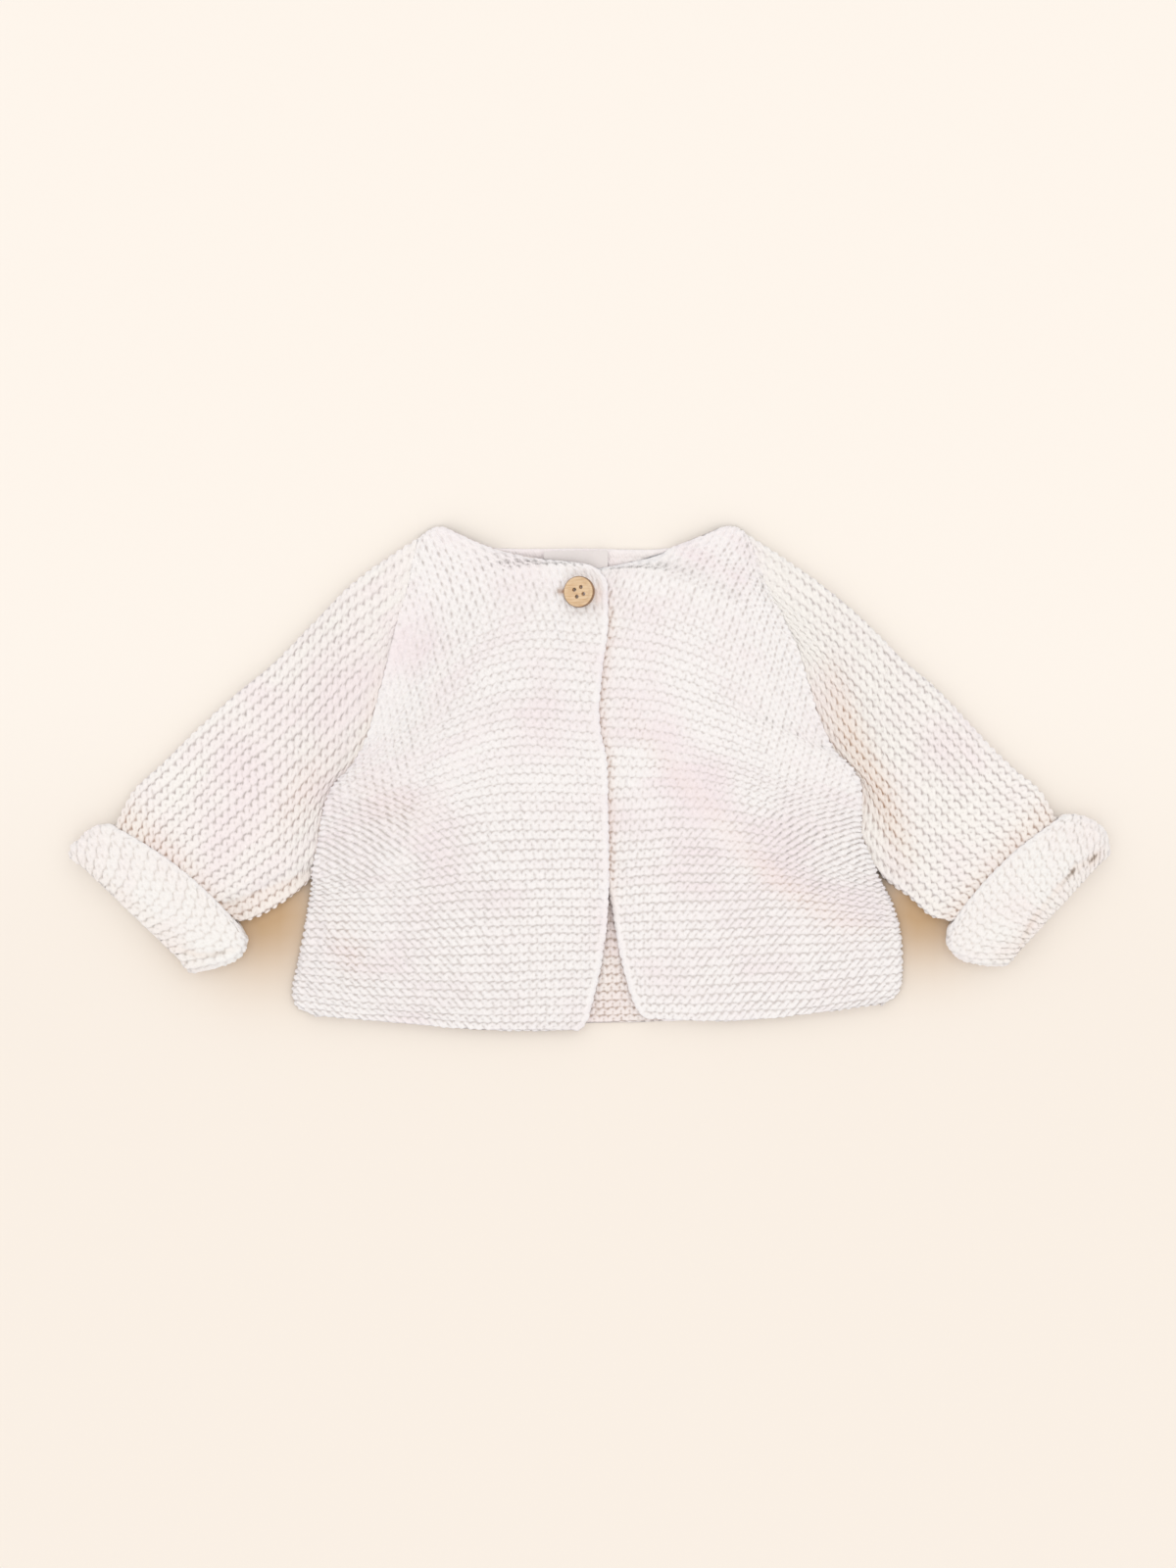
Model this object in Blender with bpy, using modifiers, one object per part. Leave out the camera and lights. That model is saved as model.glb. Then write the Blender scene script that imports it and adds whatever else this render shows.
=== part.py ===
"""Baby cardigan in garter stitch, lying on its back with the sleeves turned down beside the body.

The pieces are walls of cloth: a back, two fronts of which the right one laps over the left, two sleeve
tubes with their ends turned back as cuffs, a woven neck label and one four-hole wooden button.
X runs across the chest, Y towards the neck and Z up from the surface the cardigan lies on.
Every size and every point in the tables is in millimetres.
"""

import math

import bmesh
import bpy
from mathutils import Matrix, Vector

MM = 0.001
ORIGIN = (0.7, 0.8)  # x and y in the tables of the frame's origin, which is below the cardigan's middle

# Cloth
WALL = 2.2  # knit fabric at the bottom of a furrow
RIDGE = 0.8  # height of a garter ridge above the furrow
BACK_WALL = 2.8  # the back, at the top of its ridges
SEAM = 0.8  # space left between the edges of two pieces that are sewn together
UNDER_SPACE = 1.8  # and between the back and the sleeve's lower wall, under the front
ROUNDING = 0.8  # how far a free edge drops at its rim

# How high each piece lies above the one below it
REST_GAP = 1.5  # front above back where nothing lifts it
LEAST_GAP = 0.4
MOST_GAP = 3.7
OVER_SLEEVE = 3.0  # front above back along the armhole, where the sleeve's end is tucked between them
OVER_FRONT = 3.3  # right front above back where it laps over the left front
TUCK = 4.0  # how far the sleeve's upper wall reaches in under the front
SLEEVE_GAP = 1.5  # between the two walls of a sleeve
LOW_GAP = 1.0  # between them where the upper one is under the front
CUFF_LIFT = 2.5  # the sleeve's lower wall lies on the cuff's
CORNER = 4.0  # how far a cuff's corners are rounded off at the wrist
WRIST_GAP = 0.55  # at the mouth of a sleeve
LIP_RIGHT = 1.5  # how far the cuff's lower lip stands out past its upper one
LIP_LEFT = 4.0

# Ridges are counted from the hem, and down a sleeve from its upper fold
NECK_RIDGES_RIGHT = 56
NECK_RIDGES_LEFT = 57
UNDERARM_RIDGE = 20
FLUSH_RIDGE = 50  # from here up, front and sleeve meet edge to edge and their ridges run on
SLEEVE_RIDGES = 19
CUFF_RIDGES = 18

# Button: radius and height of each corner of its turned profile, then where it lies
BUTTON_PROFILE = (
    (0, 2.2),
    (4.4, 2.2),
    (5.2, 2.7),
    (5.9, 3.1),
    (6.7, 3.1),
    (7.3, 2.6),
    (7.5, 1.7),
    (7.2, 0.7),
    (6.2, 0.1),
    (0, 0),
)
BUTTON_CENTRE = (-4.5, 87.3, 9.7)
BUTTON_TILT = 8
HOLE_RADIUS = 1.0
HOLE_OFFSET = 2.1
BUTTONHOLE = (-11.6, 87.4, 6.0, 2.4)  # centre x, centre y, length, width

# Label
LABEL = (-20.5, 9.1, 98.8, 106.2)  # left, right, lower and upper edge
LABEL_THICKNESS = 0.5

# ridge from the hem, side point, two points across, point on the front edge
FRONT_RIGHT = (
    (0, (-126.4, -109.1), (-85.9, -112.7), (-45, -115.9), (-4.5, -115.9)),
    (1, (-134.5, -105.4), (-90, -109.1), (-45.5, -112.3), (-0.9, -112.3)),
    (3, (-137.3, -98.6), (-90.9, -103.6), (-44.5, -105.4), (1.8, -103.6)),
    (8, (-134.5, -83.6), (-87.7, -85.4), (-40.9, -84.5), (6.4, -83.2)),
    (14, (-130.4, -61.8), (-84.1, -61.8), (-37.3, -59.1), (9.1, -59.1)),
    (20, (-127.7, -45.9), (-81.8, -38.2), (-36.4, -32.7), (9.5, -32.7)),
    (25, (-124.1, -29.1), (-79.5, -17.7), (-35.5, -10), (9.1, -10.9)),
    (30, (-121.8, -14.5), (-78.2, -0.5), (-35, 10.9), (8.6, 9.1)),
    (33, (-118.6, -4.5), (-77.3, 10.9), (-35.9, 23.6), (5.9, 21.8)),
    (35, (-114.5, 1.4), (-74.5, 20), (-35, 32.7), (5, 31.4)),
    (37, (-108.2, 8.2), (-70.4, 29.5), (-32.3, 41.8), (5.5, 40)),
    (40, (-101.4, 20.9), (-65.4, 44.1), (-29.1, 55.9), (6.8, 53.6)),
    (45, (-95, 43.6), (-60.4, 66.8), (-25.5, 77.7), (9.1, 76.4)),
    (49, (-88.6, 68.2), (-57.7, 87.3), (-26.8, 96.8), (4.1, 98.2)),
    (51, (-85.9, 79.1), (-66.4, 93.6), (-46.4, 100.4), (-26.8, 103.2)),
    (53, (-82.7, 90.9), (-70.9, 100.9), (-59.1, 105.9), (-46.8, 108.6)),
    (56, (-75.9, 112.3), (-72.7, 115), (-70, 116.4), (-66.8, 117.3)),
)
# ridge from the hem, point on the front edge, two points across, side point
FRONT_LEFT = (
    (0, (27.3, -110.4), (63.6, -111.8), (100, -108.6), (136.3, -103.6)),
    (1, (23.6, -107.3), (63.6, -107.3), (103.6, -105), (142.7, -100)),
    (3, (20, -99.5), (61.8, -99.1), (103.6, -97.3), (145.4, -93.2)),
    (8, (14.5, -78.6), (58.2, -77.3), (102.3, -75.4), (145.4, -74.5)),
    (14, (10, -53.6), (54.1, -51.8), (98.2, -52.3), (141.8, -58.2)),
    (20, (2.7, -29.5), (46.4, -26.8), (90, -30.9), (133.6, -42.3)),
    (25, (-0.5, -4.5), (41.4, -3.6), (83.2, -10), (125.9, -25.5)),
    (30, (-3.6, 20), (39.5, 17.3), (83.2, 4.5), (125.9, -11.8)),
    (33, (-5.5, 34.1), (38.2, 30.5), (81.8, 15.5), (125, -0.5)),
    (35, (-6.4, 43.6), (36.4, 39.5), (79.1, 24.5), (120.9, 7.3)),
    (37, (-7.3, 53.2), (32.3, 49.1), (72.7, 34.5), (113.6, 14.1)),
    (40, (-8.6, 67.3), (29.1, 63.6), (67.7, 50), (106.4, 28.6)),
    (45, (-10.5, 90.4), (25.9, 86.8), (63.2, 73.6), (99.5, 50.9)),
    (47, (-5.5, 95.4), (27.7, 96.4), (62.3, 83.6), (95.9, 61.8)),
    (49, (29.5, 103.2), (50.4, 97.3), (71.4, 86.4), (91.8, 70.9)),
    (51, (38.2, 107.7), (55, 102.3), (71.4, 93.6), (87.7, 80)),
    (53, (48.2, 111.4), (59.5, 106.4), (71.4, 99.1), (82.7, 89.1)),
    (57, (64.5, 117.7), (66.8, 115.9), (69.1, 114.1), (71.4, 112.3)),
)
# ridge from the hem, three points across between the two sides
BACK = (
    (0, (-41.8, -112.3), (4.5, -112.7), (52.3, -110.9)),
    (3, (-42.7, -101.4), (4.5, -101.8), (52.3, -100.4)),
    (14, (-43.2, -58.2), (4.5, -57.7), (52.3, -55.4)),
    (25, (-40.9, -14.5), (2.3, -13.6), (47.7, -12.7)),
    (35, (-41.8, 23.6), (0, 25), (41.8, 25)),
    (45, (-43.2, 59.1), (-1.4, 60.9), (38.6, 60.5)),
    (54, (-45, 95), (-3.6, 94.8), (36.4, 94.6)),
    (57, (-45.9, 107.9), (-4.5, 107.5), (36.8, 107.5)),
)
# station from the armhole, upper fold, lower fold
SLEEVE_RIGHT = (
    (0, (-75.9, 115), (-127.7, -46.8)),
    (1, (-92.3, 103.6), (-131.4, -49.5)),
    (2, (-110.4, 90.4), (-134.5, -52.3)),
    (3, (-128.2, 72.3), (-138.2, -55)),
    (4, (-145.9, 54.5), (-141.8, -57.3)),
    (5, (-163.6, 40), (-145.9, -60)),
    (6, (-181.8, 23.2), (-150, -62.3)),
    (7, (-197.7, 7.7), (-154.1, -64.1)),
    (8, (-210.4, -4.5), (-158.2, -65.4)),
    (9, (-219.5, -21.8), (-163.6, -65.9)),
    (10, (-226.8, -29.5), (-173.2, -74.5)),
    (11, (-232.9, -35.4), (-182.9, -82.9)),
)
# station from the armhole, upper fold, lower fold
SLEEVE_LEFT = (
    (0, (70.9, 115), (134.5, -44.1)),
    (1, (90.4, 104.1), (137.7, -46.8)),
    (2, (109.1, 90.4), (140.9, -49.1)),
    (3, (127.3, 75), (144.1, -51.4)),
    (4, (145.4, 56.8), (147.3, -53.6)),
    (5, (163.6, 40.9), (150.4, -56.4)),
    (6, (181.8, 20.9), (153.6, -59.5)),
    (7, (197.7, 5.5), (156.8, -62.3)),
    (8, (209.5, -4.5), (160, -64.1)),
    (9, (218.2, -20), (169.5, -66.4)),
    (10, (226.8, -27.7), (181.8, -72.3)),
    (11, (233.6, -33.4), (191.6, -78.4)),
)
# station from the free edge, upper end, lower end
CUFF_RIGHT = (
    (0, (-223.6, -19.1), (-158.6, -70.4)),
    (1, (-230.9, -22.7), (-156.8, -75)),
    (2, (-237.2, -28.2), (-161.8, -83.2)),
    (3, (-242.1, -32.6), (-181, -91.2)),
)
# station from the free edge, upper end, lower end
CUFF_LEFT = (
    (0, (221.8, -15), (165.4, -70.4)),
    (1, (230, -16.4), (165.9, -77.3)),
    (2, (238.2, -21.8), (173.6, -84.1)),
    (3, (243.4, -31.1), (190.6, -88.2)),
)
FRONT_RIGHT_FOLDS = (
    ((-74.5, 89.1), (-89.1, 43.6), (-103.6, 5), 10.9, 2.3),
    ((-112.7, -19.1), (-120.9, -58.6), (-124.5, -92.7), 8.2, 1.6),
    ((-51.8, 27.7), (-74.5, -15.5), (-110.9, -88.2), 6.8, -1.5),
    ((-59.1, 70.9), (-72.7, 43.6), (-82.7, 16.4), 5.5, -1),
    ((-18.2, 48.2), (-15.5, -20), (-18.2, -79.1), 18.2, 0.9),
)
FRONT_LEFT_FOLDS = (
    ((78.2, 89.1), (93.6, 43.6), (113.6, 2.7), 10.0, 2.2),
    ((117.3, -24.5), (130.9, -54.1), (132.7, -85.9), 8.2, 1.6),
    ((25, 48.2), (64.5, -24.5), (125, -67.7), 6.8, -1.5),
    ((45.5, 61.8), (86.4, -1.8), (117.3, -35.9), 7.3, 1.3),
    ((25, -47.3), (45.5, -74.5), (65.9, -97.3), 13.6, 0.8),
)
SLEEVE_RIGHT_FOLDS = (
    ((-126.4, -40), (-143.2, -47.7), (-164.5, -56.4), 2.7, -2.4),
    ((-106.8, 48.2), (-152.3, 7.3), (-195.4, -26.8), 16.4, 2),
    ((-89.1, 70.9), (-101.8, 27.7), (-120, 2.7), 4.5, -1.2),
    ((-122.7, -20), (-140.9, -29.1), (-163.6, -42.7), 7.3, 1.4),
)
SLEEVE_LEFT_FOLDS = (
    ((138.6, -40.9), (150, -48.6), (166.3, -62.7), 2.7, -2.2),
    ((136.3, 48.2), (175, 7.3), (202.3, -24.5), 16.4, 2),
    ((108.2, 52.7), (123.6, 27.7), (136.3, 7.3), 5.5, -2),
    ((134.1, -1.8), (143.2, -22.3), (152.3, -42.7), 4.5, -1.6),
    ((147.7, -1.8), (159.1, -24.5), (170.4, -42.7), 7.3, 1.2),
)
CUFF_RIGHT_FOLDS = (
    ((-222.7, -24.5), (-204.5, -45), (-175, -72.3), 6.4, 1),
)
CUFF_LEFT_FOLDS = (
    ((225, -24.5), (204.5, -42.7), (177.3, -67.7), 6.4, 1),
)


def smooth(keys, values, key):
    """Value at a key on the curve through all values, whose tangents come from the neighbouring points."""
    last = len(keys) - 1
    i = 0
    while i < last - 1 and key > keys[i + 1]:
        i += 1

    def slope(j):
        low, high = max(j - 1, 0), min(j + 1, last)
        return (values[high] - values[low]) / (keys[high] - keys[low])

    span = keys[i + 1] - keys[i]
    t = (key - keys[i]) / span
    start, end = values[i], values[i + 1]
    a, b = slope(i) * span, slope(i + 1) * span
    rise = end - start
    return start + t * (a + t * (3 * rise - 2 * a - b + t * (a + b - 2 * rise)))


def ease(x):
    """0 up to 0, 1 from 1 on, and an S between them."""
    x = min(max(x, 0.0), 1.0)
    return x * x * (3 - 2 * x)


def section(table, key):
    """The points of a table's row at any key between its first and last."""
    keys = [row[0] for row in table]
    points = []
    for column in range(1, len(table[0])):
        x, y = ([row[column][axis] for row in table] for axis in (0, 1))
        points.append((smooth(keys, x, key), smooth(keys, y, key)))
    return points


def across(points, u, spread=None):
    """Point at u (0 to 1) on the curve through a section's points."""
    spread = spread or [i / (len(points) - 1) for i in range(len(points))]
    return tuple(smooth(spread, [p[axis] for p in points], u) for axis in (0, 1))


def fold_height(folds, x, y):
    """Sum of the soft ridges (+) and troughs (-) at a point."""
    total = 0.0
    for start, middle, end, half_width, height in folds:
        nearest = (1e9, 0.0)
        for step in range(21):
            t = step / 20
            px, py = (
                (1 - t) ** 2 * a + 2 * t * (1 - t) * (2 * m - (a + b) / 2) + t * t * b
                for a, m, b in zip(start, middle, end)
            )
            nearest = min(nearest, (math.hypot(x - px, y - py), t))
        distance, t = nearest
        total += height * math.exp(-((distance / half_width) ** 2)) * (0.35 + 0.65 * math.sin(math.pi * t))
    return total


def lifted(rest, folds, x, y):
    """Gap under a wall at a point, and how far a trough presses the wall itself in."""
    fold = fold_height(folds, x, y)
    gap = min(max(rest + fold, LEAST_GAP), MOST_GAP)
    return gap, 0.35 * min(fold, 0.0)


def relief(ridge):
    """Height of the garter ridges at a row: a crest half way between whole numbers."""
    return RIDGE * (0.5 - 0.5 * math.cos(2 * math.pi * ridge))


def front_edge_of_left(y):
    """x of the left front's edge, which the right front hides above the point where they part."""
    rows = [row for row in FRONT_LEFT if row[0] <= 45]
    keys = [row[1][1] for row in rows]
    return smooth(keys, [row[1][0] for row in rows], min(max(y, keys[0]), keys[-1]))


def front_edge_of_right(y):
    """x of the right front's edge, which laps over the left front."""
    rows = [row for row in FRONT_RIGHT if row[0] <= 49]
    keys = [row[-1][1] for row in rows]
    return smooth(keys, [row[-1][0] for row in rows], min(max(y, keys[0]), keys[-1]))


def front_gap(x, y, ridge, to_side, to_edge, folds, over_left):
    """Space between a front and the back, from how near the hem, side, armhole and front edge are."""
    gap, press = lifted(REST_GAP, folds, x, y)
    gap += (0.6 - gap) * (1 - ease(ridge / 3))
    at_side = LEAST_GAP + (OVER_SLEEVE - LEAST_GAP) * ease((ridge - 12) / 8)
    at_side += (REST_GAP - at_side) * ease((ridge - FLUSH_RIDGE + 4) / 5)
    gap += (at_side - gap) * (1 - ease((to_side - TUCK - 1) / 8))
    neck = ease((ridge - 45) / 4)
    at_edge = LEAST_GAP
    if over_left:
        at_edge += (REST_GAP - LEAST_GAP) * neck
        lap = ease((x - front_edge_of_left(y) + 9.0) / 8) * ease((ridge - 9) / 3)
        at_edge += (OVER_FRONT - at_edge) * lap
        gap += (OVER_FRONT - gap) * lap
    else:
        gap += (LEAST_GAP - gap) * (1 - ease((x - front_edge_of_right(y) - 4) / 9))
    gap += (at_edge - gap) * (1 - ease((to_edge - 1.0) / 8))
    return gap, press


def new_object(name, mesh, collection, colour, roughness):
    mesh.shade_smooth()
    mesh.set_sharp_from_angle(angle=math.radians(60))
    material = bpy.data.materials.new(name)
    material.use_nodes = True
    shader = material.node_tree.nodes["Principled BSDF"]
    shader.inputs["Base Color"].default_value = (*colour, 1)
    shader.inputs["Roughness"].default_value = roughness
    shader.inputs["Metallic"].default_value = 0
    mesh.materials.append(material)
    obj = bpy.data.objects.new(name, mesh)
    collection.objects.link(obj)
    return obj


def finish_mesh(name, bm):
    bmesh.ops.recalc_face_normals(bm, faces=bm.faces)
    mesh = bpy.data.meshes.new(name)
    bm.to_mesh(mesh)
    bm.free()
    return mesh


def zip_loops(bm, a, b):
    """Triangles between two closed loops with unlike counts, each a list of (way round 0 to 1, vertex)."""
    a, b = a + [(1.0, a[0][1])], b + [(1.0, b[0][1])]
    i = j = 0
    while i < len(a) - 1 or j < len(b) - 1:
        if j == len(b) - 1 or (i < len(a) - 1 and a[i + 1][0] <= b[j + 1][0]):
            bm.faces.new((a[i][1], a[i + 1][1], b[j][1]))
            i += 1
        else:
            bm.faces.new((a[i][1], b[j + 1][1], b[j][1]))
            j += 1


def in_frame(x, y, z):
    """A point of the tables in the cardigan's own frame, in metres."""
    return Vector((x - ORIGIN[0], y - ORIGIN[1], z)) * MM


def grid(bm, rows, closed=False):
    """Quads over rows of points, and the vertices as a grid. Closed rows are rings."""
    vertices = [[bm.verts.new(in_frame(*point)) for point in row] for row in rows]
    for low, high in zip(vertices, vertices[1:]):
        count = len(low)
        for i in range(count if closed else count - 1):
            j = (i + 1) % count
            bm.faces.new((low[i], low[j], high[j], high[i]))
    return vertices


def rim(vertices, u_steps, v_steps):
    """The border of a grid as one loop, each side a quarter of the way round."""
    loop = [(v / 4, row[0]) for v, row in zip(v_steps, vertices)][:-1]
    loop += [((1 + u) / 4, vertex) for u, vertex in zip(u_steps, vertices[-1])][:-1]
    loop += [((3 - v) / 4, row[-1]) for v, row in zip(reversed(v_steps), reversed(vertices))][:-1]
    loop += [((4 - u) / 4, vertex) for u, vertex in zip(reversed(u_steps), reversed(vertices[0]))][:-1]
    return loop


def panel(name, outer, inner, u_outer, v_outer, u_inner, v_inner):
    """A flat piece of cloth: a fine outer face, a plain inner face and the rim between them."""
    bm = bmesh.new()
    top = grid(bm, [[outer(u, v) for u in u_outer] for v in v_outer])
    under = grid(bm, [[inner(u, v) for u in u_inner] for v in v_inner])
    zip_loops(bm, rim(top, u_outer, v_outer), rim(under, u_inner, v_inner))
    return finish_mesh(name, bm)


def front(name, table, folds, ridges, side_first):
    """A front: rows follow the garter ridges from the side to the front edge."""

    def place(u, v):
        ridge = v * ridges
        points = section(table, ridge)
        x, y = across(points, u)
        width = math.dist(points[0], points[-1])
        to_side, to_edge = (u * width, (1 - u) * width) if side_first else ((1 - u) * width, u * width)
        gap, press = front_gap(x, y, ridge, to_side, to_edge, folds, side_first)
        return x, y, BACK_WALL + gap, press, min(to_side, to_edge)

    def hidden(x, y):
        """1 where the left front is covered by the right one."""
        return 0.0 if side_first else ease((4.0 + front_edge_of_right(y) - x) / 3)

    def outer(u, v):
        x, y, z, press, to_border = place(u, v)
        ridge = v * ridges
        shown = 1 - hidden(x, y)
        border = min(to_border, 4.5 * ridge, 4.5 * (ridges - ridge))
        height = relief(ridge) * shown * ease((ridges - ridge) / 2)
        drop = ROUNDING * (1 - ease(border / 1.6)) * (0.4 + 0.6 * shown)
        return x, y, z + WALL + press + height - drop

    def inner(u, v):
        x, y, z, _, _ = place(u, v)
        return x, y, z

    fine = [i / (2 * ridges) for i in range(2 * ridges + 1)]
    coarse = sorted({0.0, 1 / ridges, 1.0, *(i / ridges for i in range(2, ridges, 2))})
    lap = (0.84, 0.9, 0.95, 0.988) if side_first else (0.03, 0.07, 0.11, 0.15, 0.2)
    columns = sorted({0.0, 1.0, 0.012, 0.05, 0.95, 0.988, *lap, *(i / 7 for i in range(2, 6))})
    plain = sorted({0.0, 0.045, 0.1, 0.9, 0.955, 1.0, *(i / 5 for i in range(1, 5))})
    return panel(name, outer, inner, columns, fine, plain, coarse)


def back():
    """The back: flat underneath, its sides on those of the fronts, ridges where its inside shows."""
    ridges = NECK_RIDGES_LEFT

    def place(u, v):
        ridge = v * ridges
        sides = FRONT_RIGHT, FRONT_LEFT
        right = section(sides[0], min(ridge, NECK_RIDGES_RIGHT))[0]
        left = section(sides[1], ridge)[-1]
        middle = section(BACK, ridge)
        points = [right, *middle, left]
        span = left[0] - right[0]
        spread = [(p[0] - right[0]) / span for p in points]
        return across(points, u, spread)

    def top(u, v):
        x, y = place(u, v)
        ridge = v * ridges
        neck = ease((ridge - 50) / 0.5) * ease((x + 47) / 4) * ease((42 - x) / 4)
        opening = ease((x + 8) / 4) * ease((32 - x) / 4) * (1 - ease((ridge - 14) / 2))
        width = span_of(ridge)
        border = min(4.5 * ridge, 4.5 * (ridges - ridge), u * width, (1 - u) * width)
        drop = ROUNDING * (1 - ease(border / 1.6))
        return x, y, BACK_WALL - max(neck, opening) * (RIDGE - relief(ridge)) - drop

    def span_of(ridge):
        right = section(FRONT_RIGHT, min(ridge, NECK_RIDGES_RIGHT))[0]
        left = section(FRONT_LEFT, ridge)[-1]
        return left[0] - right[0]

    def under(u, v):
        return *place(u, v), 0.0

    shown = [i / 2 for i in (*range(29), *range(100, 114))]
    rows = sorted({*shown, *range(16, 28, 2), *range(28, 40), *range(40, 50, 2), ridges})
    plain = [0, 1, 3, 8, *range(12, 28, 2), *range(28, 40), *range(40, 56, 2), ridges]
    columns = (0, 0.006, 0.15, 0.3, 0.38, 0.46, 0.5, 0.54, 0.58, 0.62, 0.7, 0.85, 0.994, 1)
    steps = [r / ridges for r in rows]
    return panel("back", top, under, columns, steps, [i / 8 for i in range(9)], [r / ridges for r in plain])


def armhole(table, ridges, side):
    """Points down the armhole from the shoulder to the underarm at even ridges, and how far down each is."""
    count = 240
    line = []
    for i in range(count + 1):
        ridge = ridges + (UNDERARM_RIDGE - ridges) * i / count
        line.append(Vector(section(table, ridge)[side]))
    lengths = [0.0]
    for a, b in zip(line, line[1:]):
        lengths.append(lengths[-1] + (b - a).length)
    return [length / lengths[-1] for length in lengths], line


def along_line(line, w):
    ways, points = line
    i = 0
    while i < len(ways) - 2 and ways[i + 1] < w:
        i += 1
    t = (w - ways[i]) / (ways[i + 1] - ways[i])
    return points[i].lerp(points[i + 1], t)


def meeting(line, ridges, w):
    """Way down the armhole of a sleeve's ridge: on the body's own ridges at the shoulder, then crowded."""
    ways = line[0]
    down = w * SLEEVE_RIDGES
    above_arm = ridges - UNDERARM_RIDGE
    body = down + (above_arm - SLEEVE_RIDGES) * max((down - 7) / (SLEEVE_RIDGES - 7), 0) ** 2
    place = body / above_arm * (len(ways) - 1)
    i = min(int(place), len(ways) - 2)
    return ways[i] + (ways[i + 1] - ways[i]) * (place - i)


def ring_wall(name, outer, inner):
    """A tube of cloth from outer and inner rings. A ring is a list of (way round 0 to 1, point)."""
    bm = bmesh.new()
    skin = grid(bm, [[point for _, point in ring] for ring in outer], closed=True)
    lining = grid(bm, [[point for _, point in ring] for ring in inner], closed=True)
    for end in (0, -1):
        ways_out = [way for way, _ in outer[end]]
        ways_in = [way for way, _ in inner[end]]
        zip_loops(bm, list(zip(ways_out, skin[end])), list(zip(ways_in, lining[end])))
    return finish_mesh(name, bm)


def flat_ring(over, under, top_steps, bottom_steps, way=lambda w: w):
    """A flattened ring: over(w) along the upper side, then under(w) back along the lower side."""
    ring = [(way(w) / 2, over(w)) for w in top_steps]
    ring += [(1 - w / 2, under(w)) for w in reversed(bottom_steps)]
    return ring


def bulge(distance, radius):
    """0 at the fold of a flattened tube, 1 beyond the radius, round between them."""
    t = min(max(distance / radius, 0.0), 1.0)
    return math.sqrt(1 - (1 - t) ** 2)


def towards_arm(top, low, near_arm):
    """Unit vector up the arm, square to the line between a sleeve's two folds."""
    run = Vector(low) - Vector(top)
    arm = Vector((run.y, -run.x)).normalized()
    return arm if arm.dot(Vector(near_arm) - Vector(top)) > 0 else -arm


def ends_fade(w):
    """1 across a tube's middle, 0 at its two folds."""
    return ease(w / 0.12) * ease((1 - w) / 0.12)


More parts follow.
